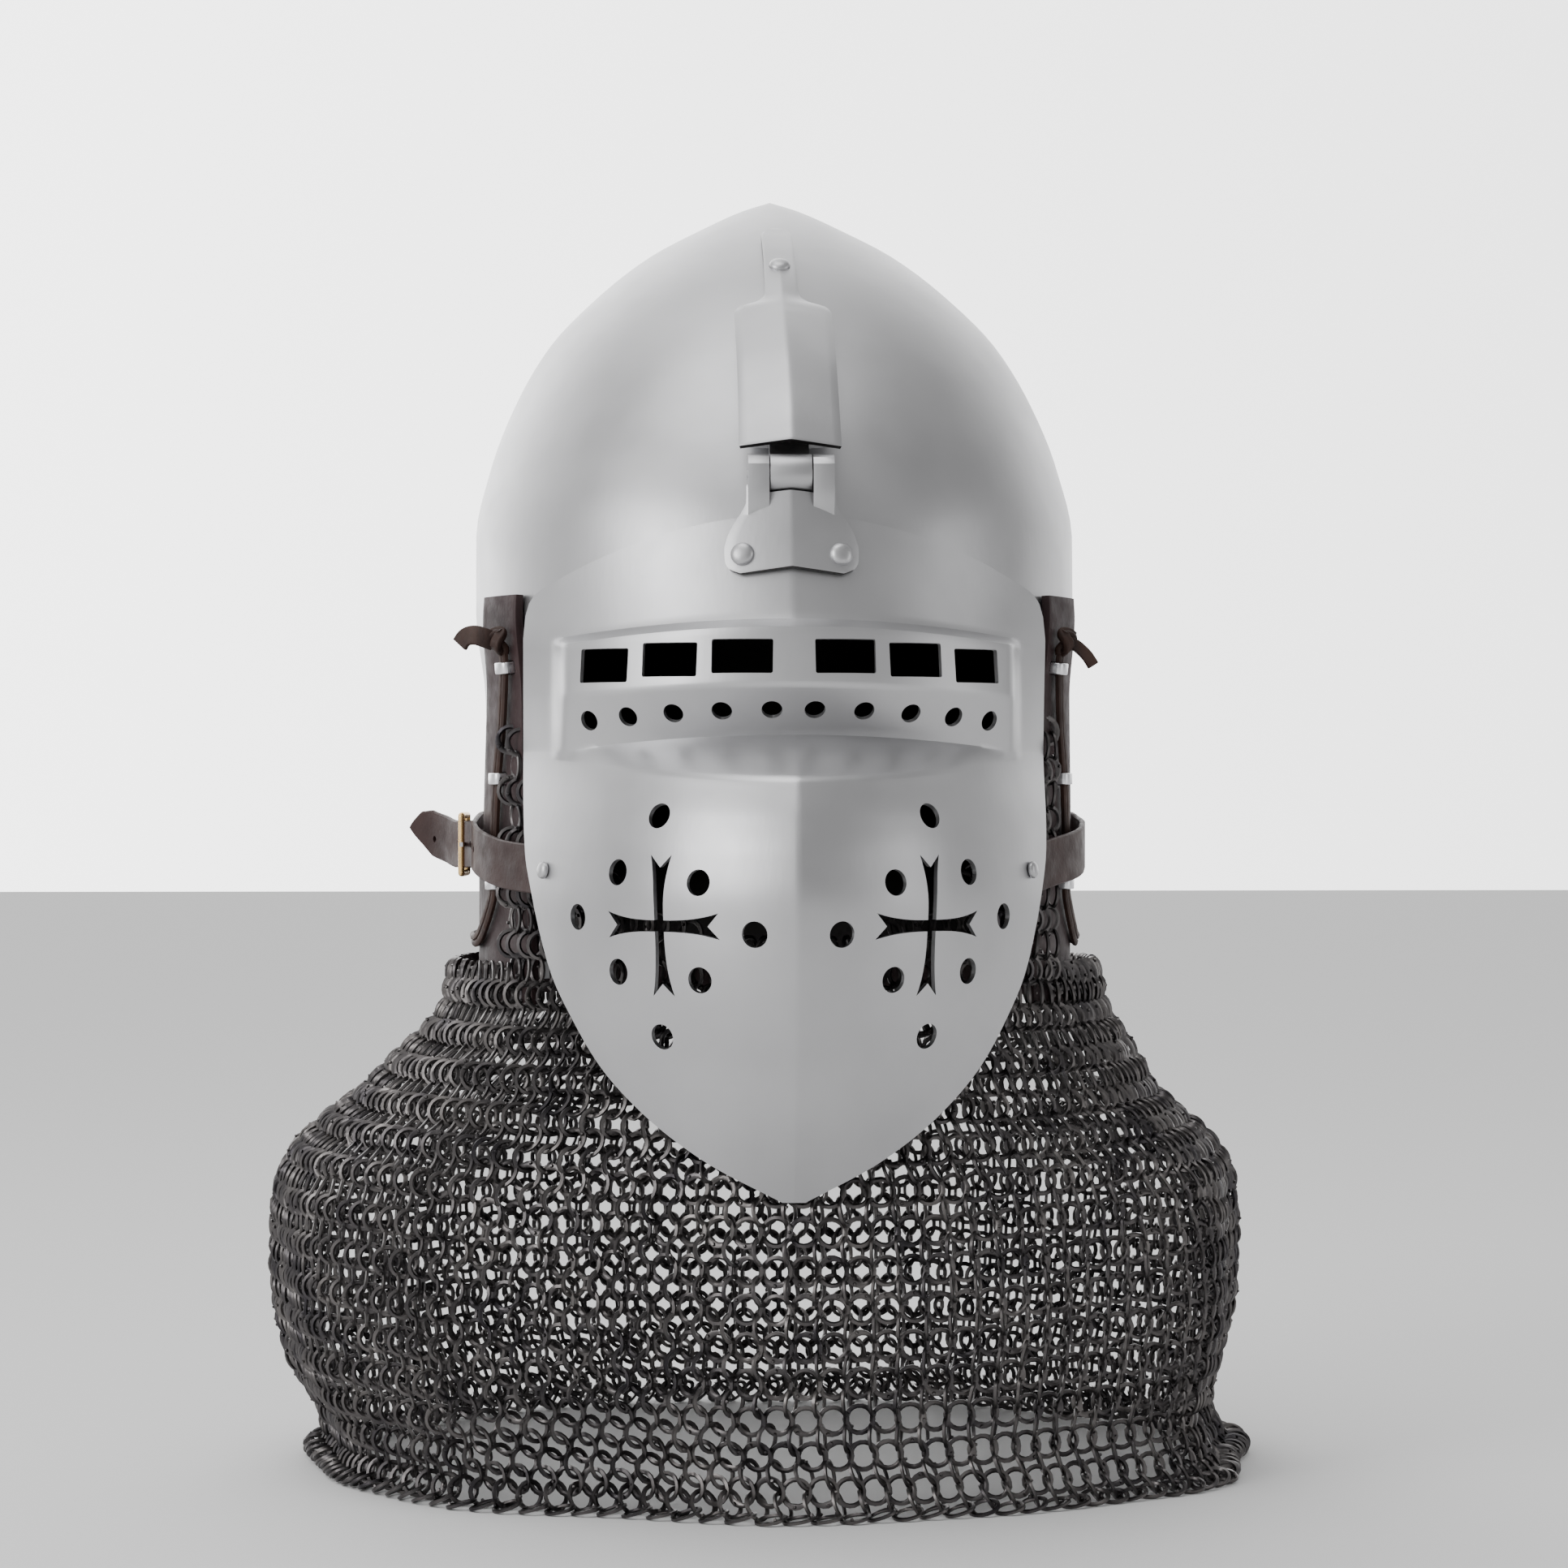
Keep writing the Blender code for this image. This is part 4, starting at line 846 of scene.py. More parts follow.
def build_hinge():
    rows = []
    count = 90
    for k in range(count + 1):
        share = COVER["height"][0] + (COVER["height"][-1] - COVER["height"][0]) * k / count
        point, normal = front_line(RIM + SKULL_TALL * share)
        stand = track(COVER, "stand", share) * COVER_STAND
        half = min(COVER_HALF * 1.02, max(.0008, track(COVER, "half", share) * TONGUE_HALF))
        crown = track(COVER, "crown", share) * COVER_CROWN
        rows.append([point + normal * (stand + crown * (1 - keel_fall(a))) + Vector((half * a, 0, 0))
                     for a in ACROSS])
    mesh = baked("hinge_cap", grid_mesh("hinge_cap", rows), wall=COVER_WALL, side=1, bevel=.0005)
    # painted shade: the cover's side walls, back and undersides are marked for near-black steel
    mark_painted_shade(mesh, lambda centre, normal: abs(normal.x) > .8 or normal.y > .2 or normal.z < -.75)
    add("hinge_cap", mesh, "steel", 24, ["hinge_cover"])

    rows = []
    wide = KNUCKLE_END
    for rise, half in ((.0300, wide), (.0200, wide), (.0130, wide), (.0096, wide), (.0092, BASE_HALF),
                       (.0076, BASE_HALF)):
        point, normal = front_line(PIN_HEIGHT + rise)
        rows.append([point + normal * (GAP + .0010 + .0004 * a * a) + Vector((half * a, 0, 0))
                     for a in (-1, -.5, 0, .5, 1)])
    rows.append([place(BASE_HALF * a, pin_depth() - .0020, PIN_HEIGHT + .0005)
                 for a in (-1, -.5, 0, .5, 1)])
    mesh = baked("hinge_middle", grid_mesh("hinge_middle", rows), wall=LEAF_WALL, side=1,
                 union=[along_pin(KNUCKLE_RADIUS, -KNUCKLE_MIDDLE, KNUCKLE_MIDDLE)],
                 cutters=[along_pin(PIN_RADIUS + .0001, -.03, .03, 24)], bevel=.0004)
    add("hinge_middle", mesh, "steel", 32, ["hinge_base"])

    leaf = {
        "height": (.0100, .0060, .0038, .0004, -.0047, -.0090, -.0133, -.0170, -.0200, -.0216),
        "half":   (.0152, .0152, .0153, .0168, .0200, .0220, .0230, .0229, .0216, .0176),
    }
    rows = []
    count = 44
    for k in range(count + 1):
        rise = leaf["height"][0] + (leaf["height"][-1] - leaf["height"][0]) * k / count
        half = track(leaf, "half", rise)
        peak = .0022 * clamped(-rise / .0216) ** 2
        row = []
        for a in ACROSS:
            x = half * a
            height = VISOR_TOP + rise + peak * (1 - abs(a))
            normal = normal_of(visor_point, x, height, (.003, .002))
            row.append(visor_point(x, height) + normal * (GAP + .0005 * (1 - keel_fall(a))))
        rows.append(row)
    pin, top = pin_depth(), PIN_HEIGHT
    front = pin + KNUCKLE_RADIUS
    foot = plain_depth(KNUCKLE_END, VISOR_TOP) + GAP + LEAF_WALL * .9
    cheek = [(pin - .0035, top + .0061), (pin + .0020, top + .0071), (front - .0020, top + .0058),
             (front, top + .0034), (front, top - .0062), (front * .72 + foot * .28, VISOR_TOP + .0048),
             (front * .36 + foot * .64, VISOR_TOP + .0016), (foot, VISOR_TOP - .0030),
             (foot - .0015, VISOR_TOP - .0030), (pin - .0020, VISOR_TOP + .0050)]
    ends = [level_prism(cheek, KNUCKLE_MIDDLE + GAP, KNUCKLE_END),
            level_prism(cheek, -KNUCKLE_END, -KNUCKLE_MIDDLE - GAP)]
    slot = [level_prism([(front + .01, top + .012), (front - .004, top - KNUCKLE_RADIUS - .0012),
                         (front + .01, top - KNUCKLE_RADIUS - .0012)],
                        -KNUCKLE_MIDDLE - GAP, KNUCKLE_MIDDLE + GAP)]
    mesh = baked("hinge_flap", grid_mesh("hinge_flap", rows), wall=LEAF_WALL, side=1, union=ends,
                 cutters=[along_pin(KNUCKLE_RADIUS + .0008, -KNUCKLE_MIDDLE - GAP, KNUCKLE_MIDDLE + GAP),
                          along_pin(PIN_RADIUS + .0001, -.03, .03, 24)] + slot, bevel=.0004)
    # painted shade: the leaf's back, its undersides and the side walls of the middle knuckle's slot are
    # marked for near-black steel
    mark_painted_shade(mesh, lambda centre, normal: normal.y > .2 or normal.z < -.75
                or (abs(centre.x) < KNUCKLE_MIDDLE + .001 and abs(normal.x) > .8))
    add("hinge_flap", mesh, "steel", 28, ["hinge_leaf"])


def on_front(x, height):
    return front_line(height)[0] + Vector((x, 0, 0))


def dome(head, lift):
    """A hammered rivet head, from its rim to its top."""
    shares = ((1, 0), (.93, .20), (.78, .34), (.56, .44), (.28, .49), (0, .50))
    return [(head * .96, lift - .0006)] + [(head * out, lift + head * rise) for out, rise in shares]


STUD_SHANK = 0.0017


def build_rivets():
    for side, word in ((-1, "left"), (1, "right")):
        for kind, (x, height), lift, head in (("leaf", LEAF_RIVET, GAP + LEAF_WALL, .0042),
                                              ("strap", STRAP_RIVET, .0004, .0031)):
            profile = [(STUD_SHANK, -.0040), (STUD_SHANK, lift - .0006)] + dome(head, lift + .0006)
            mesh = turned(profile, axes_on(visor_point, side * x, height, VISOR_STEP))
            add("%s_stud_%s" % (kind, word), mesh, "steel", 50, ["%s_rivet_%s" % (kind, word)])
    lift = COVER_STAND * .12 + COVER_WALL
    mesh = turned([(STUD_SHANK, -.0030), (STUD_SHANK, lift - .0002)] + dome(.0040, lift + .0006),
                  axes_on(on_front, 0, COVER_RIVET, (.004, .002)))
    add("cover_stud", mesh, "steel", 50, ["cover_rivet"])


# leather band, loops and lace

def band_lift(height):
    return BAND_GAP + .0014 * max(0, (RIM + .010 - height) / (BAND_HEM + .010)) ** 1.5


def band_level(share):
    return mixed(BAND_BOTTOM, BAND_TOP, share)


Side = namedtuple("Side", "inset share")
SIDE_LOOPS = (Side(.0074, .829), Side(.0156, .559), Side(.0218, .305))
BACK_TURNS = (math.radians(112), math.radians(134), math.radians(157))


def loop_spots():
    spots = []
    for side, word in ((-1, "left"), (1, "right")):
        for k, spot in enumerate(SIDE_LOOPS):
            height = band_level(spot.share)
            turn = side * turn_at(BAND_FRONT - spot.inset, height)
            spots.append(("vervelle_%s_%d" % (word, k + 1), turn, height, True))
        for k, turn in enumerate(BACK_TURNS):
            spots.append(("vervelle_%s_%d" % (word, k + 4), side * turn, NECK_LINE, False))
    spots.append(("vervelle_back", math.pi, NECK_LINE, False))
    return spots


def build_band():
    heights = [BAND_TOP + (BAND_BOTTOM - BAND_TOP) * k / 60 for k in range(61)]
    neck = next(i for i, h in enumerate(heights) if h <= BAND_NECK + .0008)
    side = 12
    rows = []
    for height in heights:
        start = turn_at(BAND_FRONT, height)
        rear = math.radians(80 - 11 * max(0, (height - BAND_NECK) / (BAND_TOP - BAND_NECK)))
        turns = [start + (rear - start) * k / side for k in range(side)]
        turns += [rear + (math.pi - rear) * k / 44 for k in range(45)]
        turns += [2 * math.pi - t for t in reversed(turns[:-1])]
        rows.append([skull_lifted(t, height, band_lift(height)) for t in turns])
    count = len(rows[0])

    def keep(i, j):
        first = min(j, count - 2 - j)
        flare = side + int(max(0, 4 - (neck - i) * .5)) if i < neck else 0
        return i >= neck or first < flare

    slots = []
    for _, turn, height, upright in loop_spots():
        outline = rounded_block(LOOP_SLOT, LOOP_HALF + .0003, .0008)
        if not upright:
            outline = [(y, -x) for x, y in outline]
        slots.append(prism(outline, -.004, .012, axes_on(skull_point, turn, height, SKULL_STEP)))
    mesh = baked("neck_band", grid_mesh("neck_band", rows, keep=keep), wall=BAND_WALL, side=1,
                 cutters=[joined("slots", slots)], bevel=.0005, angle=45)
    add("neck_band", mesh, "band_leather", 40, ["leather_band"])


def build_loops():
    top = BAND_GAP + BAND_WALL + LACE_RADIUS * 2 + .0019
    half = LOOP_HALF
    for name, turn, height, upright in loop_spots():
        matrix = axes_on(skull_point, turn, height, SKULL_STEP)
        rings = []
        for inset in (0, LOOP_WALL):
            wide = LOOP_WIDE - inset
            arch = [(-wide, .0006)]
            for k in range(13):
                angle = math.pi - math.pi * k / 12
                arch.append((wide * math.cos(angle),
                             top - inset - wide * .55 * (1 - math.sin(angle) ** .8)))
            arch.append((wide, .0006))
            rings.append(arch)
        bm = bmesh.new()
        loops = []
        for ring, level in ((rings[0], -half), (rings[0], half), (rings[1], half), (rings[1], -half)):
            line = []
            for across, rise in ring:
                local = Vector((across, level, rise)) if upright else Vector((level, across, rise))
                line.append(bm.verts.new(matrix @ local))
            loops.append(line)
        for a, b in zip(loops, loops[1:] + loops[:1]):
            for k in range(len(a) - 1):
                bm.faces.new((a[k], a[k + 1], b[k + 1], b[k]))
        for end in (0, -1):
            bm.faces.new([line[end] for line in loops])
        piece = name.replace("vervelle", "loop")
        mesh = baked(piece, mesh_from(bm, name), bevel=.0004, segments=3, angle=40)
        add(piece, mesh, "white_metal", 40, [name])


def curve_through(points, count, closed=False):
    """A smooth Catmull-Rom line through the points."""
    total = len(points)
    spans = total if closed else total - 1
    line = []
    for n in range(count):
        at = n / (count if closed else count - 1) * spans
        i = min(int(at), spans - 1)
        t = at - i
        places = [(i + d) % total if closed else min(max(i + d, 0), total - 1) for d in (-1, 0, 1, 2)]
        p = [points[k] for k in places]
        line.append((p[1] * 2 + (p[2] - p[0]) * t + (p[0] * 2 - p[1] * 5 + p[2] * 4 - p[3]) * t * t
                     + (p[1] * 3 - p[0] - p[2] * 3 + p[3]) * t ** 3) / 2)
    return line


def tube_mesh(points, outline, closed=False, up=Vector((0, 0, 1))):
    """Sweeps an outline along points; its x lies sideways, its y along the carried normal."""
    bm = bmesh.new()
    rings = []
    count = len(points)
    normal = None
    for k, point in enumerate(points):
        before = points[(k - 1) % count] if closed else points[max(0, k - 1)]
        after = points[(k + 1) % count] if closed else points[min(count - 1, k + 1)]
        along = (after - before).normalized()
        if normal is None:
            normal = (up - along * up.dot(along)).normalized()
        else:
            normal = (normal - along * normal.dot(along)).normalized()
        side = along.cross(normal)
        rings.append([bm.verts.new(point + side * x + normal * y) for x, y in outline])
    skin(bm, rings, closed)
    return mesh_from(bm, "tube")


def lace_route():
    rise = BAND_GAP + BAND_WALL + LACE_RADIUS + .0006
    half = []
    for inset, share in ((.0068, .870), (.0074, .829), (.0110, .697), (.0156, .559), (.0196, .401),
                         (.0212, .335), (.0218, .305), (.0226, .275)):
        half.append((turn_at(BAND_FRONT - inset, band_level(share)), band_level(share)))
    for inset, above in ((.0290, .0100), (.0400, .0025), (.0510, 0), (.0640, 0)):
        half.append((turn_at(BAND_FRONT - inset, NECK_LINE + above), NECK_LINE + above))
    ends = [math.radians(a) for a in range(100, 180, 10)]
    half += [(t, NECK_LINE) for t in ends if t > half[-1][0] + .05]
    route = [(-t, h) for t, h in half] + [(math.pi, NECK_LINE)] + [(t, h) for t, h in reversed(half)]
    return [skull_lifted(t, h, rise) for t, h in route]


GROOVED = ((.0025, .0006), (.0018, .0011), (.0004, .0010), (0, .0004), (-.0004, .0010), (-.0018, .0011),
           (-.0025, .0006), (-.0025, -.0006), (-.0018, -.0010), (.0018, -.0010), (.0025, -.0006))


def build_lace():
    route = lace_route()
    line = curve_through(route, 300)
    start = route[0] - skull_point(-turn_at(BAND_FRONT - .0068, band_level(.870)), band_level(.870))
    meshes = [tube_mesh(line, GROOVED, up=start.normalized())]
    for end, side in ((route[0], -1), (route[-1], 1)):
        # an overhand knot: a turn of lace round the lace, then the tail
        outward = Vector((side * .87, -.5, 0))
        aside = Vector((side * .5, .87, 0))
        centre = end + outward * .0022 + raised(.0036)
        knot = []
        for k in range(25):
            angle = 2 * math.pi * k / 24 * 1.5 + .6
            knot.append(centre + aside * (.0026 * math.cos(angle)) + raised(.0034 * math.sin(angle))
                        + outward * (.0006 + .0014 * math.sin(2 * angle + .8)))
        meshes.append(tube_mesh(curve_through(knot, 70), rounded_block(.0022, .0013, .0009, 3), up=outward))
        inner = [end + raised(-.0010), end + raised(.0012), centre, centre + raised(.0030),
                 centre + raised(.0040) + outward * .0004]
        core = rounded_block(.0026, .0015, .0012, 3)
        meshes.append(tube_mesh(curve_through(inner, 20), core, up=outward))
        if side < 0:
            tail = [centre + outward * .0012 + aside * .0008, centre + Vector((-.0048, -.0008, .0012)),
                    centre + Vector((-.0085, .0002, .0022)), centre + Vector((-.0118, .0016, .0014)),
                    centre + Vector((-.0138, .0026, -.0012))]
            flat = rounded_block(.0009, .0036, .0007, 3)
        else:
            tail = [centre + outward * .0014, centre + Vector((.0042, -.0006, -.0018)),
                    centre + Vector((.0076, .0000, -.0050)), centre + Vector((.0100, .0004, -.0086))]
            flat = rounded_block(.0014, .0022, .0010, 3)
        meshes.append(tube_mesh(curve_through(tail, 20), flat))
    add("lace_cord", joined("lace_cord", meshes), "lace_leather", 50, ["lace"])


# strap and buckle

# where the strap's width is tried against the steel that it lies on
STRAP_RISES = [k * STRAP_WIDE / 4 for k in (-2, -1, 0, 1, 2)]


def strap_lay(x):
    middle = visor_point(x, STRAP_RIVET[1])
    normal = normal_of(visor_point, x, STRAP_RIVET[1], VISOR_STEP)
    out = heading(normal)
    dip = max((middle - visor_point(x, STRAP_RIVET[1] + rise)).dot(out) for rise in STRAP_RISES)
    return out, VISOR_WALL + .0007 + STRAP_WALL / 2 + dip


def under_visor(side, x):
    out, lay = strap_lay(side * x)
    return visor_point(side * x, STRAP_RIVET[1]) - out * lay


HINGE_BAR = (-SKULL_HALF - .0029, OPENING_DEPTH - .0358 - BUCKLE_LONG)
FRONT_BAR = (-SKULL_HALF - .0047, OPENING_DEPTH - .0358)


def beside(side, out, ahead, rise):
    return place(side * (SKULL_HALF + out), OPENING_DEPTH + ahead, RIM + rise)


def lead_in(side, run):
    points = [under_visor(side, VISOR_HALF - inset) for inset in (.0153, .0108, .0063, .0023)]
    start = STRAP_RIVET[1] - RIM
    return points + [beside(side, out, ahead, start + rise) for out, ahead, rise in run]


def strap_mesh(points, count, half_at=None, shift_at=None):
    """A strap on edge along a smooth line: its width stays upright."""
    line = curve_through(points, count)
    wall, corner = STRAP_WALL / 2, .0005
    bm = bmesh.new()
    rings = []
    for k, point in enumerate(line):
        share = k / (count - 1)
        along = heading(line[min(k + 1, count - 1)] - line[max(k - 1, 0)])
        out = Vector((along.y, -along.x, 0))
        half = STRAP_WIDE / 2 if half_at is None else half_at(share)
        shift = 0 if shift_at is None else shift_at(share)
        soft = min(corner, half * .6)
        ring = []
        for sx, sz in ((1, 1), (-1, 1), (-1, -1), (1, -1)):
            pair = [(sx * wall, sz * (half - soft)), (sx * (wall - corner), sz * half)]
            ring += pair if sx * sz > 0 else pair[::-1]
        rings.append([bm.verts.new(point + out * x + raised(z + shift)) for x, z in ring])
    skin(bm, rings)
    return mesh_from(bm, "strap"), line


def hole_through(line, share):
    k = int(share * (len(line) - 1))
    along = line[k + 1] - line[k - 1]
    out = Vector((along.y, -along.x, 0)).normalized()
    return prism(disc(.0012, 20), -.005, .005, axes(line[k], out))


def eased(xs, ys):
    return lambda share: float(np.interp(share, xs, ys))


def build_straps():
    rise = BUCKLE_LEVEL - RIM
    left = lead_in(-1, ((-.0139, .0062, .0012), (-.0072, -.0058, .0030), (-.0027, -.0178, .0052),
                        (-.0006, -.0278, .0071)))
    left += [beside(-1, out, ahead, rise) for out, ahead in (
        (.0002, -.0358), (.0019, -.0418), (.0054, -.0488))]
    end = HINGE_BAR[1] - OPENING_DEPTH
    left += [beside(-1, out, end + ahead, rise + curl) for out, ahead, curl in (
        (.0080, 0, 0), (.0109, -.0080, .0007), (.0154, -.0160, .0017), (.0206, -.0220, .0030),
        (.0249, -.0260, .0043))]
    half = STRAP_WIDE / 2
    tip = eased((0, .78, .88, .935, .97, 1), (half, half, half * .98, half * .66, half * .34, .0004))
    curl = eased((0, .70, .86, .93, 1), (0, 0, .0016, .0030, .0016))
    mesh, line = strap_mesh(left, 150, tip, curl)
    holes = [hole_through(line, share) for share in (.545, .495, .450, .86)]
    mesh = baked("strap_front", mesh, cutters=holes + [rivet_way(-1)])
    add("strap_front", mesh, "strap_leather", 40, ["visor_strap_left"])

    right = lead_in(1, ((-.0139, .0062, .0028), (-.0072, -.0058, .0043), (-.0027, -.0178, .0058),
                        (-.0008, -.0278, .0073), (.0006, -.0378, .0083), (.0012, -.0478, .0090),
                        (.0012, -.0578, .0096)))
    height = RIM + .0515
    for turn in [math.radians(a) for a in range(90, 270, 10)]:
        aside = math.sin(turn)
        lift = .0006 + STRAP_WALL / 2 + .0020 * max(0, aside) ** 8 + .0024 * max(0, -aside) ** 8
        flat = skull_point(turn, height)
        out = heading(normal_of(skull_point, turn, height, SKULL_STEP))
        reach = max((skull_point(turn, height + rise) - flat).dot(out) for rise in STRAP_RISES)
        right.append(flat + out * (lift + .0008 + reach))
    bar_x, bar_depth = HINGE_BAR
    wrap = BUCKLE_WIRE + .0006 + STRAP_WALL / 2
    for k in range(7):
        angle = math.pi * k / 6
        right.append(place(bar_x + wrap * math.cos(angle), bar_depth + wrap * math.sin(angle),
                           BUCKLE_LEVEL))
    right.append(place(bar_x - wrap, bar_depth - .0090, BUCKLE_LEVEL))
    add("strap_rear", strap_mesh(right, 260)[0], "strap_leather", 40, ["visor_strap_right"])


def rivet_way(side):
    matrix = axes_on(visor_point, side * STRAP_RIVET[0], STRAP_RIVET[1], VISOR_STEP)
    return prism(disc(.0020, 16), -.012, .004, matrix)


def build_buckle():
    half = STRAP_WIDE / 2 + .0011 + BUCKLE_WIRE
    corners = []
    for (x, depth), side in ((HINGE_BAR, 1), (FRONT_BAR, -1)):
        for rise in (-side, side):
            corners.append((x, depth, BUCKLE_LEVEL + rise * half))
    points = []
    for k, corner in enumerate(corners):
        before, after = corners[k - 1], corners[(k + 1) % 4]
        middle = [(one + two) / 2 for one, two in zip(before, after)]
        for other, share in ((before, .10), (middle, .035), (after, .10)):
            points.append(place(*[one * (1 - share) + two * share for one, two in zip(corner, other)]))
    mesh = tube_mesh(curve_through(points, 96, True), disc(BUCKLE_ROUND, 12), closed=True)
    add("buckle_ring", mesh, "brass", 60, ["buckle_frame"])
    for name, slot in (("buckle_tongue", "white_metal"), ("hinge_pin", "steel")):
        for item in bpy.data.objects[name].material_slots:
            item.material = LOOKS[slot]


# mail

def neck():
    half, _, back = skull_extent(RIM)
    clear = BAND_GAP + BAND_WALL + .0015
    return (half + clear + MAIL_EASE, (BAND_FRONT - MAIL_SETBACK) / math.cos(MAIL_EDGE),
            back + clear + MAIL_EASE * .6)


NECK = neck()


def mail_point(turn, height):
    share = height / MAIL_DROP
    half = mixed(NECK[0], MAIL_HALF, track(MAIL, "half", share))
    front = mixed(NECK[1], MAIL_FRONT, track(MAIL, "front", share))
    back = mixed(NECK[2], MAIL_BACK, track(MAIL, "back", share))
    wave = math.sin(7 * turn + 1.1) + .6 * math.sin(11 * turn + 2.4)
    lift = MAIL_FOLD * track(MAIL, "fold", share) * wave
    reach = front if math.cos(turn) > 0 else back
    hang = clamped((.172 - height) / .042)
    foot = clamped((.045 - height) / .040)
    sway = MAIL_SWAY * (eased_in(hang) - 1.5 * foot * foot)
    return place((half + lift) * math.sin(turn) + sway, (reach + lift) * math.cos(turn), height)


def chin_edge(turn):
    return RIM + CHIN_FRONT + (CHIN_SIDE - CHIN_FRONT) * min(1, abs(turn) / MAIL_EDGE) ** 2.2


RING_RADIUS = 0.00490
RING_WIDE = 0.00175
RING_THICK = 0.00130
MAIL_COLUMNS = 136
FRONT_COLUMNS = 39
FRONT_SHARE = FRONT_COLUMNS / MAIL_COLUMNS / 2
HEM_EDGE = math.radians(62)
FACING = math.radians(14)
TURNED = math.radians(56)
EVEN_LEAN = math.radians(38)
MAIL_ROWS = 28


def column_turn(share, height):
    """Turn of a column, which fans out from the neck to the hem; share runs from -.5 to .5."""
    edge = mixed(MAIL_EDGE, HEM_EDGE, eased_in(clamped((RIM - height) / (RIM - .060))))
    if abs(share) <= FRONT_SHARE:
        return share / FRONT_SHARE * edge
    beyond = (abs(share) - FRONT_SHARE) / (.5 - FRONT_SHARE)
    return math.copysign(edge + beyond * (math.pi - edge), share)


def column_line(share):
    """Points down a column of the mail, from its upper edge to the floor."""
    top = RIM
    if abs(share) <= FRONT_SHARE:
        top = chin_edge(column_turn(share, RIM)) - .004
    line = []
    height = top
    while height > .0090:
        line.append(mail_point(column_turn(share, height), height))
        height -= .0040
    foot = mail_point(column_turn(share, .0090), .0090)
    out = heading(foot)
    line.append(foot)
    base = Vector((foot.x, foot.y, -SEAT_HEIGHT))
    for reach, rise in ((.0014, .0040), (.0042, .0018), (.0098 + .0012 * out.x, .0013)):
        line.append(base + out * reach + raised(rise))
    return line


def ring_template():
    """Points and faces of one flat ring with its lapped, riveted place at angle 0."""
    around, section = 18, 5
    points = []
    for i in range(around):
        angle = 2 * math.pi * i / around
        lap = max(0, math.cos(angle)) ** 12
        wide = RING_WIDE / 2 * (1 + .45 * lap)
        thick = RING_THICK / 2 * (1 + .35 * lap)
        for j in range(section):
            turn = 2 * math.pi * (j + .5) / section
            r = RING_RADIUS + wide * math.cos(turn) * 1.08
            points.append((r * math.cos(angle), r * math.sin(angle), thick * math.sin(turn) * 1.1))
    faces = []
    for i in range(around):
        for j in range(section):
            n, m = (i + 1) % around, (j + 1) % section
            faces.append((i * section + j, n * section + j, n * section + m, i * section + m))
    base = len(points)
    for level, radius in ((RING_THICK * .6, .00075), (RING_THICK * 1.25, .00045)):
        for k in range(5):
            a = 2 * math.pi * k / 5
            points.append((RING_RADIUS + radius * math.cos(a), radius * math.sin(a), level))
    for k in range(5):
        n = (k + 1) % 5
        faces.append((base + k, base + n, base + 5 + n, base + 5 + k))
    faces.append(tuple(base + 5 + k for k in range(5)))
    return np.array(points), faces


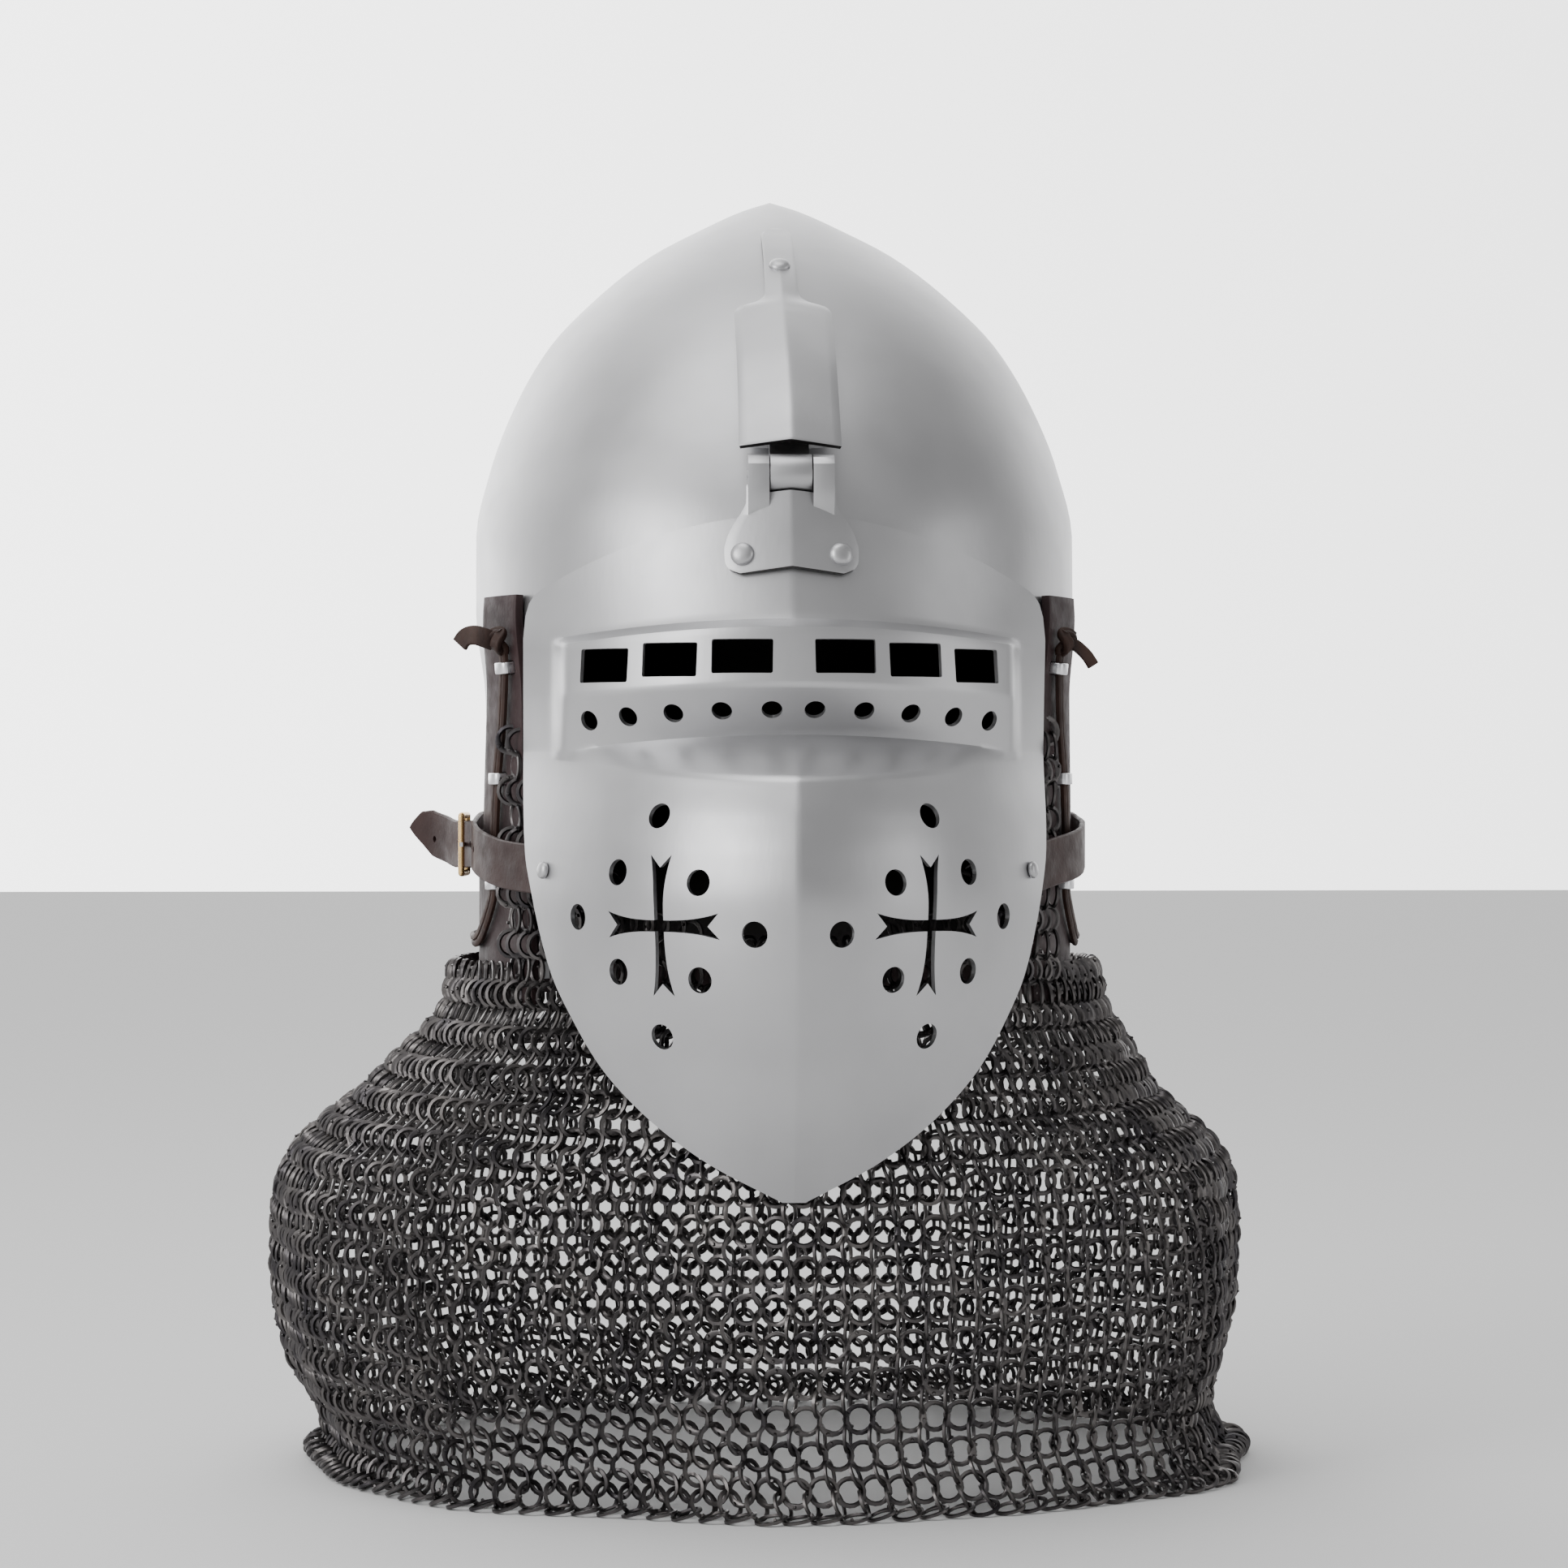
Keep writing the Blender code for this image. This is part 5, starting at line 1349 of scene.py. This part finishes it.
def ring_places():
    """Centre, axes and side of every ring of the mail."""
    chance = random.Random(11)
    lines = {}

    def sampled(share, row):
        key = round(share * 2 * MAIL_COLUMNS)
        if key not in lines:
            points = np.array([tuple(p) for p in column_line(key / 2 / MAIL_COLUMNS)])
            steps = np.linalg.norm(np.diff(points, axis=0), axis=1)
            # rows hang wide apart at the neck and closer below
            heights = (points[:-1, 2] + points[1:, 2]) / 2 + SEAT_HEIGHT
            pitch = np.interp(heights, (.070, .100, .150, .186), (.0064, .0068, .0080, .0084))
            weight = steps / pitch
            total = np.concatenate(([0], np.cumsum(weight)))
            below = np.interp(RIM, (points[:, 2] + SEAT_HEIGHT)[::-1], total[::-1])
            scale = MAIL_ROWS / (total[-1] - below)
            lines[key] = (points, (total[-1] - total) * scale)
        points, rows = lines[key]
        if row > rows[0] + .45:
            return None
        return [float(np.interp(row, rows[::-1], points[::-1, k])) for k in range(3)]

    places = []
    for row in range(0, MAIL_ROWS + 20):
        for column in range(MAIL_COLUMNS):
            share = (column + .5 * (row % 2)) / MAIL_COLUMNS - .5
            if share > .5:
                share -= 1
            here = sampled(share, row + .35)
            if here is None:
                continue
            above = sampled(share, row + .85) or here
            under = sampled(share, max(0, row - .15))
            step = .5 / MAIL_COLUMNS
            left = sampled(share - step, row + .35) if share > -.5 + step else None
            right = sampled(share + step, row + .35) if share + step <= .5 else None
            here = Vector(here)
            up = Vector(above) - Vector(under)
            across = Vector(right or here) - Vector(left or here)
            if across.length < 1e-5 or up.length < 1e-5:
                continue
            up.normalize()
            normal = across.cross(up).normalized()
            across = up.cross(normal)
            # in front one row of two faces outward and the other turns aside; behind both lean alike
            ahead = max(0, -here.y / math.hypot(here.x, here.y)) ** .7
            lean = mixed(EVEN_LEAN, TURNED, ahead) if row % 2 else -mixed(EVEN_LEAN, FACING, ahead)
            lean += math.radians(chance.uniform(-6, 6))
            pitch = math.radians(chance.uniform(-7, 7))
            jitter = Vector([chance.uniform(-.00025, .00025) for _ in range(3)])
            x = across * math.cos(lean) - normal * math.sin(lean)
            z = normal * math.cos(lean) + across * math.sin(lean)
            y = up * math.cos(pitch) + z * math.sin(pitch)
            z = x.cross(y).normalized()
            spin = chance.uniform(0, 2 * math.pi)
            places.append((here + jitter, x * math.cos(spin) + y * math.sin(spin),
                           y * math.cos(spin) - x * math.sin(spin), z))
    return places


def build_mail():
    template, faces = ring_template()
    parts = ("front", "front_left", "back_left", "back", "back_right", "front_right")
    names = ["mail_" + part for part in parts]
    groups = {name: [] for name in names}
    for ring in ring_places():
        angle = math.degrees(math.atan2(ring[0].x, -ring[0].y))
        groups[names[round(angle / 60) % 6]].append(ring)
    for name, items in groups.items():
        if not items:
            continue
        centres = np.array([tuple(i[0]) for i in items])
        turns = np.array([[tuple(i[1]), tuple(i[2]), tuple(i[3])] for i in items])
        points = np.einsum("nk,rkc->rnc", template, turns) + centres[:, None, :]
        low = points[:, :, 2].min(axis=1)
        lift = np.maximum(0, -SEAT_HEIGHT + .0001 - low)
        points[:, :, 2] += lift[:, None]
        size = len(template)
        all_faces = [tuple(v + r * size for v in face) for r in range(len(items)) for face in faces]
        mesh = bpy.data.meshes.new(name)
        mesh.from_pydata(points.reshape(-1, 3).tolist(), [], all_faces)
        add(name, mesh, "mail_iron", 60, ["aventail"] if name == "mail_front" else [])
        print(name, len(items), "rings", len(mesh.polygons) * 2, "triangles")


build_camera()
build_floor()
build_lights()
make_looks()
build_skull()
build_visor()
build_hinge()
build_rivets()
build_band()
build_loops()
build_lace()
build_straps()
build_buckle()
build_mail()
